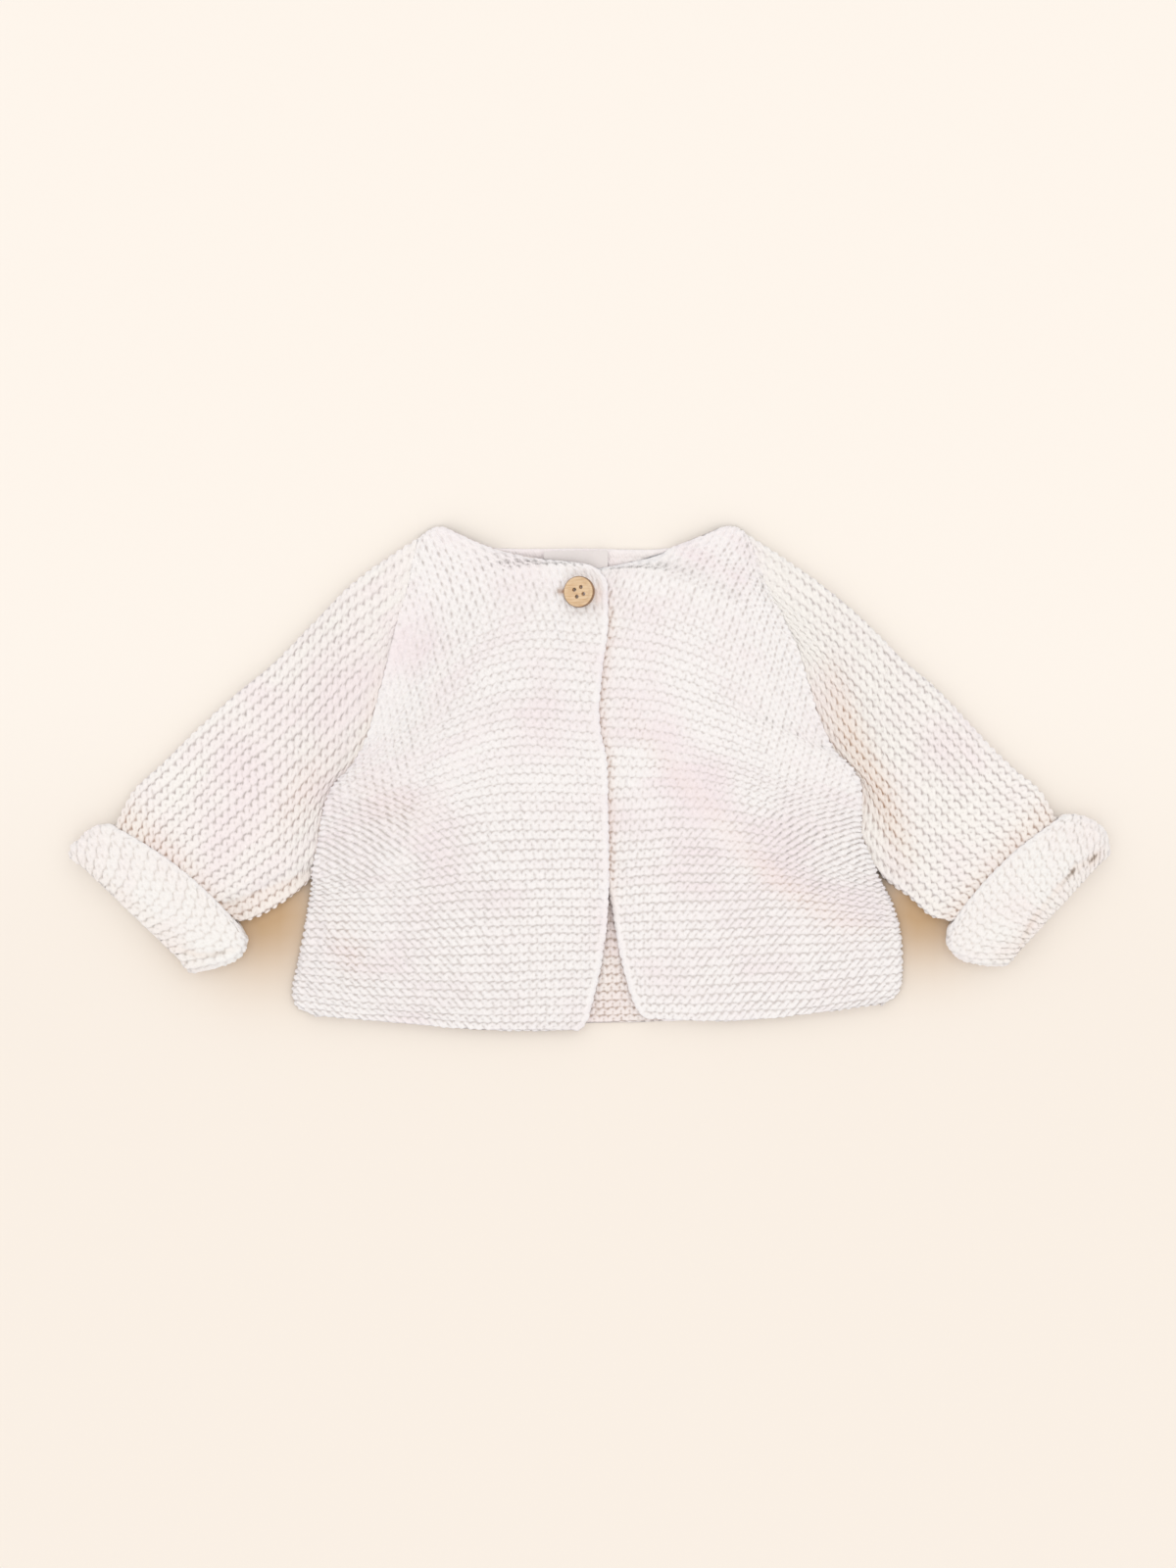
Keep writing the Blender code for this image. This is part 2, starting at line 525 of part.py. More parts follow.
def sleeve(name, table, folds, line, ridges, outward, lip):
    """A sleeve: a flattened tube from the armhole to the wrist, its end inside the cuff."""
    chord = along_line(line, 0), along_line(line, 1)
    arm = towards_arm(*section(table, 11), section(table, 9)[0])

    def place(w, station):
        top, low = section(table, station)
        x, y = (a + (b - a) * w for a, b in zip(top, low))
        if station < 4:
            bow = (1 - station / 4) ** 2
            away = along_line(line, w) - chord[0].lerp(chord[1], w)
            x, y = x + bow * away.x, y + bow * away.y
        return Vector((x, y))

    def on_ridge(w, station):
        """Way round the flattened tube of the ridge w, which slides to where the body's ridges are."""
        return w + (meeting(line, ridges, w) - w) * max(1 - station / 4, 0) ** 2

    def armhole_side(w):
        """Unit vector across the armhole line, towards the sleeve."""
        run = along_line(line, min(w + 0.03, 1)) - along_line(line, max(w - 0.03, 0))
        return Vector((run.y, -run.x)).normalized() * outward

    def shifted(w, station, offset):
        """Point at a station, or at an offset across the armhole line at the first one."""
        if station > 0:
            return place(w, station) + arm * offset * ends_fade(w)
        return along_line(line, w) + armhole_side(w) * offset

    def width(station):
        top, low = section(table, station)
        return math.dist(top, low)

    def tucked_in(w, offset):
        """Offset across the armhole: a negative one fades to a seam's width at the shoulder and fold."""
        if offset >= 0:
            return offset
        return SEAM + (offset - SEAM) * ease((w - 0.4) / 0.1) * ease((0.97 - w) / 0.1)

    def heights(w, station, offset, point):
        rest = SLEEVE_GAP if station > 0 else LOW_GAP
        gap, press = lifted(rest, folds, point.x, point.y)
        under_cuff = ease((station - 8.2) / 0.8)
        near_body = 1 - ease((station - 0.1) / 1.2)
        flush = 1 - ease((w - 0.19) / 0.18)
        at_body = LOW_GAP + (REST_GAP + BACK_WALL - WALL - LOW_GAP) * flush
        gap += (WRIST_GAP - gap) * under_cuff
        gap += (at_body - gap) * near_body
        base = CUFF_LIFT * under_cuff
        return base, gap, press * (1 - under_cuff) * (1 - near_body), under_cuff

    def over(station, offset):
        def point_at(w):
            v = on_ridge(w, station)
            point = shifted(v, station, tucked_in(v, offset))
            base, gap, press, under_cuff = heights(v, station, offset, point)
            top = base + WALL + gap + WALL + press
            shown = (1 - under_cuff) * max(ease(station / 0.5), 1 - ease((v - 0.3) / 0.08))
            top += relief(w * SLEEVE_RIDGES) * shown
            edge = min(v, 1 - v) * width(station)
            low = base + (WALL + gap + WALL) * 0.45
            return point.x, point.y, low + (top - low) * bulge(edge, 4.5)

        return point_at

    def under(station, offset):
        def point_at(w):
            point = shifted(w, station, max(offset, UNDER_SPACE) if station == 0 else 0)
            base, gap, _, _ = heights(w, station, 0, point)
            edge = min(w, 1 - w) * width(station)
            low = base + (WALL + gap + WALL) * 0.45
            return point.x, point.y, low + (base - low) * bulge(edge, 2.5)

        return point_at

    def inner_over(station, offset):
        def point_at(w):
            inset = 2.6 / width(station)
            v = inset + (1 - 2 * inset) * w
            point = shifted(v, station, tucked_in(w, offset))
            base, gap, _, _ = heights(v, station, offset, point)
            edge = min(w, 1 - w) * width(station)
            return point.x, point.y, base + WALL + gap * (0.5 + 0.5 * bulge(edge, 4.0))

        return point_at

    def inner_under(station, offset):
        def point_at(w):
            inset = 2.6 / width(station)
            v = inset + (1 - 2 * inset) * w
            point = shifted(v, station, max(offset, UNDER_SPACE) if station == 0 else 0)
            base, _, _, _ = heights(w, station, 0, point)
            return point.x, point.y, base + WALL

        return point_at

    stations = [(0, -TUCK), (0, 2.2)] + [(s, 0) for s in (0.8, 1.6, 2.6, 4, 5.5, 7, 8.1, 9, 10)]
    stations.append((11, lip + 1.0))
    crests = [i / (2 * SLEEVE_RIDGES) for i in range(1, 2 * SLEEVE_RIDGES)]
    between = [i / (4 * SLEEVE_RIDGES) for i in range(49, 4 * SLEEVE_RIDGES, 2)]
    top_steps = sorted([0.0, 0.008, *crests, *between, 0.994, 1.0])
    low_steps = (0.012, 0.04, *(i / 24 for i in range(1, 24)), 0.96, 0.988)
    outer = []
    for station, offset in stations:
        ring = over(station, offset), under(station, offset), top_steps, low_steps
        outer.append(flat_ring(*ring, lambda w: on_ridge(w, station)))
    steps = (0.0, 0.04, *(i / 10 for i in range(1, 10)), 0.96, 1.0)
    inner = [flat_ring(inner_over(*s), inner_under(*s), steps, steps[1:-1]) for s in stations]
    return ring_wall(name, outer, inner)


def cuff(name, table, folds, lip):
    """A turned-back cuff: a flattened tube round the sleeve's end, rolled in over it at the wrist."""
    arm = towards_arm(*section(table, 3), section(table, 0)[0])
    inside_top = CUFF_LIFT + WALL + WRIST_GAP + WALL + 0.35

    def place(w, station):
        top, low = (Vector(p) for p in section(table, station))
        drawn_in = CORNER * (1 - math.sqrt(1 - max(station - 2, 0) ** 2)) / (low - top).length
        return top.lerp(low, drawn_in + (1 - 2 * drawn_in) * w)

    def width(station):
        return (place(1, station) - place(0, station)).length

    def to_rim(station):
        return min(station, 3 - station) * 7.0

    def over(station):
        def point_at(w):
            point = place(w, station) + arm * lip * ease((station - 1.5) / 1.5) * ends_fade(w)
            fold = fold_height(folds, point.x, point.y)
            top = inside_top + WALL + fold + relief(w * CUFF_RIDGES) * ease(to_rim(station) / 1.2)
            edge = min(w, 1 - w) * width(station)
            wrist = bulge((3 - station) * 7.0 + 1.2, 5.0)
            top -= ROUNDING * (1 - ease(station / 0.15))
            mid = 5.2
            return point.x, point.y, mid + (top - mid) * bulge(edge + 0.05, 6.0) * (0.35 + 0.65 * wrist)

        return point_at

    def under(station):
        def point_at(w):
            point = place(w, station)
            edge = min(w, 1 - w) * width(station)
            wrist = bulge((3 - station) * 7.0 + 0.8, 3.0)
            return point.x, point.y, 5.2 * (1 - bulge(edge, 3.5) * wrist) * 0.96

        return point_at

    def lining(station, inset_way, low, high, along=0.0):
        """Ring inside the cuff between two heights, moved in from its ends."""

        def at(w, level):
            inset = inset_way / width(station)
            v = inset + (1 - 2 * inset) * w
            shift = lip * ease((station - 1.5) / 1.5) * ends_fade(v) if level == high else 0.0
            point = place(v, station) + arm * (along + shift)
            edge = min(w, 1 - w) * width(station)
            mid = (low + high) / 2
            return point.x, point.y, mid + (level - mid) * bulge(edge + 0.1, 3.0)

        steps = (0.0, 0.01, 0.03, 0.08, 0.25, 0.5, 0.75, 0.92, 0.97, 0.99, 1.0)
        return flat_ring(lambda w: at(w, high), lambda w: at(w, low), steps, steps[1:-1])

    stations = (0, 0.15, 0.6, 1.2, 1.8, 2.4, 2.8, 3)
    crests = [i / (2 * CUFF_RIDGES) for i in range(1, 2 * CUFF_RIDGES)]
    top_steps = [0.0, 0.006, *crests, 0.994, 1.0]
    low_steps = (0.008, 0.03, 0.35, 0.65, 0.97, 0.992)
    outer = [flat_ring(over(s), under(s), top_steps, low_steps) for s in stations]
    mouth_low = CUFF_LIFT + WALL
    mouth_high = mouth_low + WRIST_GAP
    inner = [
        lining(0, 2.5, WALL, inside_top),
        lining(1, 2.5, WALL, inside_top),
        lining(2, 2.5, WALL, inside_top),
        lining(3, 2.5, WALL, inside_top, 2.2),
        lining(3, 4.5, mouth_low, mouth_high, 2.2),
        lining(3, 4.5, mouth_low, mouth_high, 0.6),
    ]
    return ring_wall(name, outer, inner)


def label():
    """A woven rectangle just above the back, below its neck edge."""
    left, right, lower, upper = LABEL
    bm = bmesh.new()
    bmesh.ops.create_cube(bm, size=1)
    size = Vector((right - left, upper - lower, LABEL_THICKNESS)) * MM
    centre = in_frame((left + right) / 2, (lower + upper) / 2, BACK_WALL + 0.3 + LABEL_THICKNESS / 2)
    bmesh.ops.scale(bm, vec=size, verts=bm.verts)
    bmesh.ops.translate(bm, vec=centre, verts=bm.verts)
    return finish_mesh("neck_label", bm)


def button(collection, cutters):
    """A turned disc with a rim round a dished face, and four sewing holes."""
    mesh = bpy.data.meshes.new("button")
    points = [(x * MM, 0, z * MM) for x, z in BUTTON_PROFILE]
    mesh.from_pydata(points, [(i, i + 1) for i in range(len(points) - 1)], [])
    disc = new_object("button", mesh, collection, (0.68, 0.51, 0.32), 0.6)
    turn = disc.modifiers.new("turned", "SCREW")
    turn.steps = turn.render_steps = 32
    turn.use_merge_vertices = True
    turn.merge_threshold = 0.00005
    turn.use_smooth_shade = True
    tilt = Matrix.Rotation(math.radians(-BUTTON_TILT), 4, "Y")
    disc.matrix_world = Matrix.Translation(in_frame(*BUTTON_CENTRE)) @ tilt
    for i in range(4):
        angle = math.radians(90 * i + 10)
        bm = bmesh.new()
        bmesh.ops.create_cone(
            bm, cap_ends=True, segments=12, radius1=HOLE_RADIUS * MM, radius2=HOLE_RADIUS * MM, depth=8 * MM
        )
        hole = bpy.data.objects.new(f"button_hole_{i}", finish_mesh(f"button_hole_{i}", bm))
        place = Vector((HOLE_OFFSET * math.cos(angle), HOLE_OFFSET * math.sin(angle), 1.5)) * MM
        hole.matrix_world = disc.matrix_world @ Matrix.Translation(place)
        hide_cutter(hole, cutters)
        cut = disc.modifiers.new(f"hole_{i}", "BOOLEAN")
        cut.operation = "DIFFERENCE"
        cut.object = hole
    return disc


def hide_cutter(obj, cutters):
    cutters.objects.link(obj)
    obj.hide_render = True
    obj.display_type = "WIRE"


def buttonhole(cloth, cutters):
    """A slit through the right front beside the button."""
    x, y, length, width = BUTTONHOLE
    bm = bmesh.new()
    bmesh.ops.create_cone(bm, cap_ends=True, segments=16, radius1=MM / 2, radius2=MM / 2, depth=14 * MM)
    bmesh.ops.scale(bm, vec=(length, width, 1), verts=bm.verts)
    slit = bpy.data.objects.new("buttonhole", finish_mesh("buttonhole", bm))
    slit.location = in_frame(x, y, 10)
    hide_cutter(slit, cutters)
    cut = cloth.modifiers.new("buttonhole", "BOOLEAN")
    cut.operation = "DIFFERENCE"
    cut.object = slit


def main():
    for obj in list(bpy.data.objects):
        bpy.data.objects.remove(obj, do_unlink=True)
    parts = bpy.data.collections.new("baby_cardigan")
    cutters = bpy.data.collections.new("cutters")
    for collection in (parts, cutters):
        bpy.context.scene.collection.children.link(collection)

    cream, rose, ecru = (0.87, 0.80, 0.78), (0.88, 0.79, 0.78), (0.88, 0.84, 0.80)
    new_object("back", back(), parts, cream, 0.95)
    right = front("front_right", FRONT_RIGHT, FRONT_RIGHT_FOLDS, NECK_RIDGES_RIGHT, True)
    left = front("front_left", FRONT_LEFT, FRONT_LEFT_FOLDS, NECK_RIDGES_LEFT, False)
    right = new_object("front_right", right, parts, cream, 0.95)
    new_object("front_left", left, parts, cream, 0.95)
    buttonhole(right, cutters)

    line_right = armhole(FRONT_RIGHT, NECK_RIDGES_RIGHT, 0)
    line_left = armhole(FRONT_LEFT, NECK_RIDGES_LEFT, -1)
    body = line_right, NECK_RIDGES_RIGHT, 1
    mesh = sleeve("sleeve_right", SLEEVE_RIGHT, SLEEVE_RIGHT_FOLDS, *body, LIP_RIGHT)
    new_object("sleeve_right", mesh, parts, rose, 0.95)
    body = line_left, NECK_RIDGES_LEFT, -1
    mesh = sleeve("sleeve_left", SLEEVE_LEFT, SLEEVE_LEFT_FOLDS, *body, LIP_LEFT)
    new_object("sleeve_left", mesh, parts, rose, 0.95)
    mesh = cuff("cuff_right", CUFF_RIGHT, CUFF_RIGHT_FOLDS, LIP_RIGHT)
    new_object("cuff_right", mesh, parts, ecru, 0.95)
    mesh = cuff("cuff_left", CUFF_LEFT, CUFF_LEFT_FOLDS, LIP_LEFT)
    new_object("cuff_left", mesh, parts, ecru, 0.95)
    new_object("neck_label", label(), parts, (0.76, 0.71, 0.69), 0.5)
    button(parts, cutters)


main()
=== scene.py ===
# %% [markdown]
# # A garter stitch baby cardigan, laid flat
#
# The real thing is knitted in one piece in thick soft cotton, every row a knit row, so that both faces show
# ridges of small interlocked bumps. It lies on its back on a table, buttoned once at the neck, with its
# sleeve ends turned back as cuffs. The solids of the frame already hold the outline and the large folds.
# This script gives each of them its yarn: the same walls are made again from the same sizes, and the outer
# face is raised stitch by stitch.

# %% The frame
import math

import bpy
import bmesh
import numpy as np
from mathutils import Matrix, Vector


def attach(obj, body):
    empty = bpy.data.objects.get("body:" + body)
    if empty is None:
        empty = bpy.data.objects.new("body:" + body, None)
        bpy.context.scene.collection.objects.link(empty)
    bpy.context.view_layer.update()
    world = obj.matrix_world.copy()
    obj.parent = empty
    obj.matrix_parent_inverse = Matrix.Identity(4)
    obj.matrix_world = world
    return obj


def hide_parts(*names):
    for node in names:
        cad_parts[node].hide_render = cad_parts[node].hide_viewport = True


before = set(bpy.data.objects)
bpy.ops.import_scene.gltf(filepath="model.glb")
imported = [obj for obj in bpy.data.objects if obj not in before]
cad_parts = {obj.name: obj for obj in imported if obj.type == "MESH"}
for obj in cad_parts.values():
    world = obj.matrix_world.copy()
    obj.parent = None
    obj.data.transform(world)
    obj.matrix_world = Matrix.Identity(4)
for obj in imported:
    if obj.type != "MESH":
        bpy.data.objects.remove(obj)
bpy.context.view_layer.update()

bpy.ops.object.select_all(action="DESELECT")
print("solids:", sorted(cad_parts))

# %% [markdown]
# ## Sizes
#
# A knitter measures in stitches and ridges, and so does this script. One ridge is two knitted rows. All
# lengths are millimetres until a mesh is made, and the frame's origin lies at one point of the tables.

# %% Sizes of the cloth
MM = 0.001
ORIGIN = np.array((0.7, 0.8, 0.0))

WALL = 2.2  # cloth at the bottom of a furrow
BACK_WALL = 2.8  # the back, which is pressed flat
LEVEL = 0.45  # mean height of the stitches above the wall
BODY_STITCH = 4.1  # width of a stitch on back and fronts
SLEEVE_STITCH = 4.4

REST_GAP = 1.5  # air under a front that lies on the back
LEAST_GAP = 0.4  # and where a trough presses it down
MOST_GAP = 3.7
OVER_SLEEVE = 3.0  # room for the sleeve under a front's side
OVER_FRONT = 3.3  # room for the left front under the right one
TUCK = 4.0  # how far a sleeve reaches in under a front
SLEEVE_GAP = 1.5  # air inside a sleeve
LOW_GAP = 1.0  # and where it comes out of the body
HEM_GAP = 0.6  # air under the fronts' hems
CUFF_LIFT = 2.5  # height of the wrist on the cuff's lower layer
CORNER = 4.0  # radius of a cuff's corners at the wrist
WRIST_GAP = 0.55  # air inside the wrist
LIP_RIGHT = 1.5  # how far the wrist's upper side reaches past the lower one
LIP_LEFT = 4.0
CUFF_LIP_LEFT = 0.8

NECK_RIDGES_RIGHT = 56
NECK_RIDGES_LEFT = 57
UNDERARM_RIDGE = 20  # where the armholes end
FLUSH_RIDGE = 50  # from here up, front and sleeve lie level
SLEEVE_RIDGES = 18
CUFF_RIDGES_RIGHT = 20
CUFF_RIDGES_LEFT = 22
FAN = 0.3  # how much the cuff's ridges spread towards its free edge
BOWED = 4.5  # how far the middle of the free edge stands up the arm

# %% [markdown]
# ## Where the ridges run
#
# Each table row follows one ridge across a front, or one line round a sleeve. They are the rows from which
# the solids were made, so the knitted skin lands on them with no fitting.

# %% Tables of the fronts and the back
# ridge from the hem, side point, two points across, point on the front edge
FRONT_RIGHT = (
    (0, (-126.4, -109.1), (-85.9, -112.7), (-45, -115.9), (-4.5, -115.9)),
    (1, (-134.5, -105.4), (-90, -109.1), (-45.5, -112.3), (-0.9, -112.3)),
    (3, (-137.3, -98.6), (-90.9, -103.6), (-44.5, -105.4), (1.8, -103.6)),
    (8, (-134.5, -83.6), (-87.7, -85.4), (-40.9, -84.5), (6.4, -83.2)),
    (14, (-130.4, -61.8), (-84.1, -61.8), (-37.3, -59.1), (9.1, -59.1)),
    (20, (-127.7, -45.9), (-81.8, -38.2), (-36.4, -32.7), (9.5, -32.7)),
    (25, (-124.1, -29.1), (-79.5, -17.7), (-35.5, -10), (9.1, -10.9)),
    (30, (-121.8, -14.5), (-78.2, -0.5), (-35, 10.9), (8.6, 9.1)),
    (33, (-118.6, -4.5), (-77.3, 10.9), (-35.9, 23.6), (5.9, 21.8)),
    (35, (-114.5, 1.4), (-74.5, 20), (-35, 32.7), (5, 31.4)),
    (37, (-108.2, 8.2), (-70.4, 29.5), (-32.3, 41.8), (5.5, 40)),
    (40, (-101.4, 20.9), (-65.4, 44.1), (-29.1, 55.9), (6.8, 53.6)),
    (45, (-95, 43.6), (-60.4, 66.8), (-25.5, 77.7), (9.1, 76.4)),
    (49, (-88.6, 68.2), (-57.7, 87.3), (-26.8, 96.8), (4.1, 98.2)),
    (51, (-85.9, 79.1), (-66.4, 93.6), (-46.4, 100.4), (-26.8, 103.2)),
    (53, (-82.7, 90.9), (-70.9, 100.9), (-59.1, 105.9), (-46.8, 108.6)),
    (56, (-78.2, 113), (-74.5, 116), (-70.8, 117.6), (-67, 117.7)),
)
# ridge from the hem, point on the front edge, two points across, side point
FRONT_LEFT = (
    (0, (27.3, -110.4), (63.6, -111.8), (100, -108.6), (136.3, -103.6)),
    (1, (23.6, -107.3), (63.6, -107.3), (103.6, -105), (142.7, -100)),
    (3, (20, -99.5), (61.8, -99.1), (103.6, -97.3), (145.4, -93.2)),
    (8, (14.5, -78.6), (58.2, -77.3), (102.3, -75.4), (145.4, -74.5)),
    (14, (10, -53.6), (54.1, -51.8), (98.2, -52.3), (141.8, -58.2)),
    (20, (2.7, -29.5), (46.4, -26.8), (90, -30.9), (133.6, -42.3)),
    (25, (-0.5, -4.5), (41.4, -3.6), (83.2, -10), (125.9, -25.5)),
    (30, (-3.6, 20), (39.5, 17.3), (83.2, 4.5), (125.9, -11.8)),
    (33, (-5.5, 34.1), (38.2, 30.5), (81.8, 15.5), (125, -0.5)),
    (35, (-6.4, 43.6), (36.4, 39.5), (79.1, 24.5), (120.9, 7.3)),
    (37, (-7.3, 53.2), (32.3, 49.1), (72.7, 34.5), (113.6, 14.1)),
    (40, (-8.6, 67.3), (29.1, 63.6), (67.7, 50), (106.4, 28.6)),
    (45, (-10.5, 90.4), (25.9, 86.8), (63.2, 73.6), (99.5, 50.9)),
    (47, (-5.5, 95.4), (27.7, 96.4), (62.3, 83.6), (95.9, 61.8)),
    (49, (29.5, 103.2), (50.4, 97.3), (71.4, 86.4), (91.8, 70.9)),
    (51, (38.2, 107.7), (55, 102.3), (71.4, 93.6), (87.7, 80)),
    (53, (48.2, 111.4), (59.5, 106.4), (71.4, 99.1), (82.7, 89.1)),
    (57, (63.6, 117.9), (67, 118), (70.5, 116.8), (73.6, 114.2)),
)
# ridge from the hem, three points across between the two sides
BACK = (
    (0, (-41.8, -112.3), (4.5, -112.7), (52.3, -110.9)),
    (3, (-42.7, -101.4), (4.5, -101.8), (52.3, -100.4)),
    (14, (-43.2, -58.2), (4.5, -57.7), (52.3, -55.4)),
    (25, (-40.9, -14.5), (2.3, -13.6), (47.7, -12.7)),
    (35, (-41.8, 23.6), (0, 25), (41.8, 25)),
    (45, (-43.2, 59.1), (-1.4, 60.9), (38.6, 60.5)),
    (54, (-45, 95), (-3.6, 94.8), (36.4, 94.6)),
    (57, (-45.9, 107.9), (-4.5, 107.5), (36.8, 107.5)),
)

# %% Tables of the sleeves and cuffs
# station from the armhole, upper fold, lower fold
SLEEVE_RIGHT = (
    (0, (-77.5, 114.4), (-127.7, -46.8)),
    (1, (-92.3, 103.6), (-131.4, -49.5)),
    (2, (-110.4, 90.4), (-134.5, -52.3)),
    (3, (-128.2, 72.3), (-138.2, -55)),
    (4, (-145.9, 54.5), (-141.8, -57.3)),
    (5, (-163.6, 40), (-145.9, -60)),
    (6, (-181.8, 23.2), (-150, -62.3)),
    (7, (-197.7, 7.7), (-154.1, -64.1)),
    (8, (-210.4, -4.5), (-158.2, -65.4)),
    (9, (-219.5, -21.8), (-163.6, -65.9)),
    (10, (-226.8, -29.5), (-173.2, -74.5)),
    (11, (-232.9, -35.4), (-182.9, -82.9)),
)
SLEEVE_LEFT = (
    (0, (74.3, 114.2), (134.5, -44.1)),
    (1, (91, 103), (137.7, -46.8)),
    (2, (109.1, 90.4), (140.9, -49.1)),
    (3, (127.3, 75), (144.1, -51.4)),
    (4, (145.4, 56.8), (147.3, -53.6)),
    (5, (163.6, 40.9), (150.4, -56.4)),
    (6, (181.8, 20.9), (153.6, -59.5)),
    (7, (197.7, 5.5), (156.8, -62.3)),
    (8, (209.5, -4.5), (160, -64.1)),
    (9, (218.2, -20), (169.5, -66.4)),
    (10, (226.8, -27.7), (181.8, -72.3)),
    (11, (233.6, -33.4), (191.6, -78.4)),
)
# station from the free edge, upper end, lower end
CUFF_RIGHT = (
    (0, (-223.6, -19.1), (-158.6, -70.4)),
    (1, (-230.9, -22.7), (-156.8, -75)),
    (2, (-237.2, -28.2), (-161.8, -83.2)),
    (3, (-242.1, -32.6), (-181, -91.2)),
)
CUFF_LEFT = (
    (0, (221.8, -15), (165.4, -70.4)),
    (1, (230, -16.4), (165.9, -77.3)),
    (2, (238.2, -21.8), (173.6, -84.1)),
    (3, (243.4, -31.1), (190.6, -88.2)),
)

# %% [markdown]
# ## Folds
#
# Cotton this thick does not crease, it rolls. Each fold is a soft line with a start, a middle and an end, a
# half width and a height, which is negative for a trough. The calm lines further down do not lift the
# cloth: there the stitches are pulled flat and show less.

# %% Tables of the folds
FRONT_RIGHT_FOLDS = (
    ((-74.5, 89.1), (-89.1, 43.6), (-103.6, 5), 10.9, 2.3),
    ((-112.7, -19.1), (-120.9, -58.6), (-124.5, -92.7), 8.2, 1.6),
    ((-51.8, 27.7), (-74.5, -15.5), (-110.9, -88.2), 6.8, -1.5),
    ((-59.1, 70.9), (-72.7, 43.6), (-82.7, 16.4), 5.5, -1),
    ((-18.2, 48.2), (-15.5, -20), (-18.2, -79.1), 18.2, 0.9),
)
FRONT_LEFT_FOLDS = (
    ((78.2, 89.1), (93.6, 43.6), (113.6, 2.7), 10.0, 2.2),
    ((117.3, -24.5), (130.9, -54.1), (132.7, -85.9), 8.2, 1.6),
    ((25, 48.2), (64.5, -24.5), (125, -67.7), 6.8, -1.5),
    ((45.5, 61.8), (86.4, -1.8), (117.3, -35.9), 7.3, 1.3),
    ((25, -47.3), (45.5, -74.5), (65.9, -97.3), 13.6, 0.8),
)
SLEEVE_RIGHT_FOLDS = (
    ((-126.4, -40), (-143.2, -47.7), (-164.5, -56.4), 2.7, -2.4),
    ((-106.8, 48.2), (-152.3, 7.3), (-195.4, -26.8), 16.4, 2),
    ((-89.1, 70.9), (-101.8, 27.7), (-120, 2.7), 4.5, -1.2),
    ((-122.7, -20), (-140.9, -29.1), (-163.6, -42.7), 7.3, 1.4),
)
SLEEVE_LEFT_FOLDS = (
    ((138.6, -40.9), (150, -48.6), (166.3, -62.7), 2.7, -2.2),
    ((136.3, 48.2), (175, 7.3), (202.3, -24.5), 16.4, 2),
    ((108.2, 52.7), (123.6, 27.7), (136.3, 7.3), 5.5, -2),
    ((134.1, -1.8), (143.2, -22.3), (152.3, -42.7), 4.5, -1.6),
    ((147.7, -1.8), (159.1, -24.5), (170.4, -42.7), 7.3, 1.2),
)
CUFF_RIGHT_FOLDS = (
    ((-222.7, -24.5), (-204.5, -45), (-175, -72.3), 6.4, 1),
)
CUFF_LEFT_FOLDS = (
    ((225, -24.5), (204.5, -42.7), (177.3, -67.7), 6.4, 1),
)

# %% [markdown]
# ## Smooth lines through a few rows
#
# A spline that passes through every row of a table needs no handles. Its weights depend only on where the
# rows are, so they are worked out once and then multiplied with points, heights or anything else.

# %% Curves through the tables
def curve_weights(keys, at):
    """How much each key's value counts at each place, on the curve through all of them."""
    keys, at = np.asarray(keys, float), np.asarray(at, float)
    i = np.clip(np.searchsorted(keys, at, side="right") - 1, 0, len(keys) - 2)
    span = keys[i + 1] - keys[i]
    t = (at - keys[i]) / span
    weights = np.zeros((len(at), len(keys)))
    here = np.arange(len(at))
    np.add.at(weights, (here, i), 1 - 3 * t**2 + 2 * t**3)
    np.add.at(weights, (here, i + 1), 3 * t**2 - 2 * t**3)
    for j, amount in ((i, t - 2 * t**2 + t**3), (i + 1, t**3 - t**2)):
        low, high = np.maximum(j - 1, 0), np.minimum(j + 1, len(keys) - 1)
        slope = amount * span / (keys[high] - keys[low])
        np.add.at(weights, (here, high), slope)
        np.add.at(weights, (here, low), -slope)
    return weights


def sections(table, keys):
    """The points of a table's rows at many keys: one row of points for each."""
    points = np.array([row[1:] for row in table], float)
    return np.einsum("kr,rcd->kcd", curve_weights([row[0] for row in table], keys), points)


def ease(x):
    """0 up to 0, 1 from 1 on, and an S between them."""
    x = np.clip(x, 0.0, 1.0)
    return x * x * (3 - 2 * x)


def bulge(distance, radius):
    """0 at an edge, 1 beyond the radius, round between them."""
    t = np.clip(distance / radius, 0.0, 1.0)
    return np.sqrt(1 - (1 - t) ** 2)


def blend(a, b, t):
    """a where t is 0, b where it is 1."""
    return a + (b - a) * t


def rounded(low, top, distance, radius):
    """A height that rises from an edge and is round up to the radius."""
    return blend(low, top, bulge(distance, radius))


def fading(distance, width):
    """1 on a line, and less beside it."""
    return np.exp(-((distance / width) ** 2))


def spot(x, y, centre, radii):
    """1 at a place, and less round it."""
    return np.exp(-(((x - centre[0]) / radii[0]) ** 2) - ((y - centre[1]) / radii[1]) ** 2)


def unit(v):
    """Vectors of length 1."""
    return v / np.maximum(np.linalg.norm(v, axis=-1, keepdims=True), 1e-9)


def distance_to(line, x, y):
    """Distance of many points from a line, and how far along it they are."""
    nearest, way = np.full(x.shape, 1e9), np.zeros(x.shape)
    for k, (p, q) in enumerate(zip(line, line[1:])):
        run = q - p
        s = np.clip(((x - p[0]) * run[0] + (y - p[1]) * run[1]) / (run @ run), 0, 1)
        distance = np.hypot(x - p[0] - s * run[0], y - p[1] - s * run[1])
        way = np.where(distance < nearest, (k + s) / (len(line) - 1), way)
        nearest = np.minimum(nearest, distance)
    return nearest, way


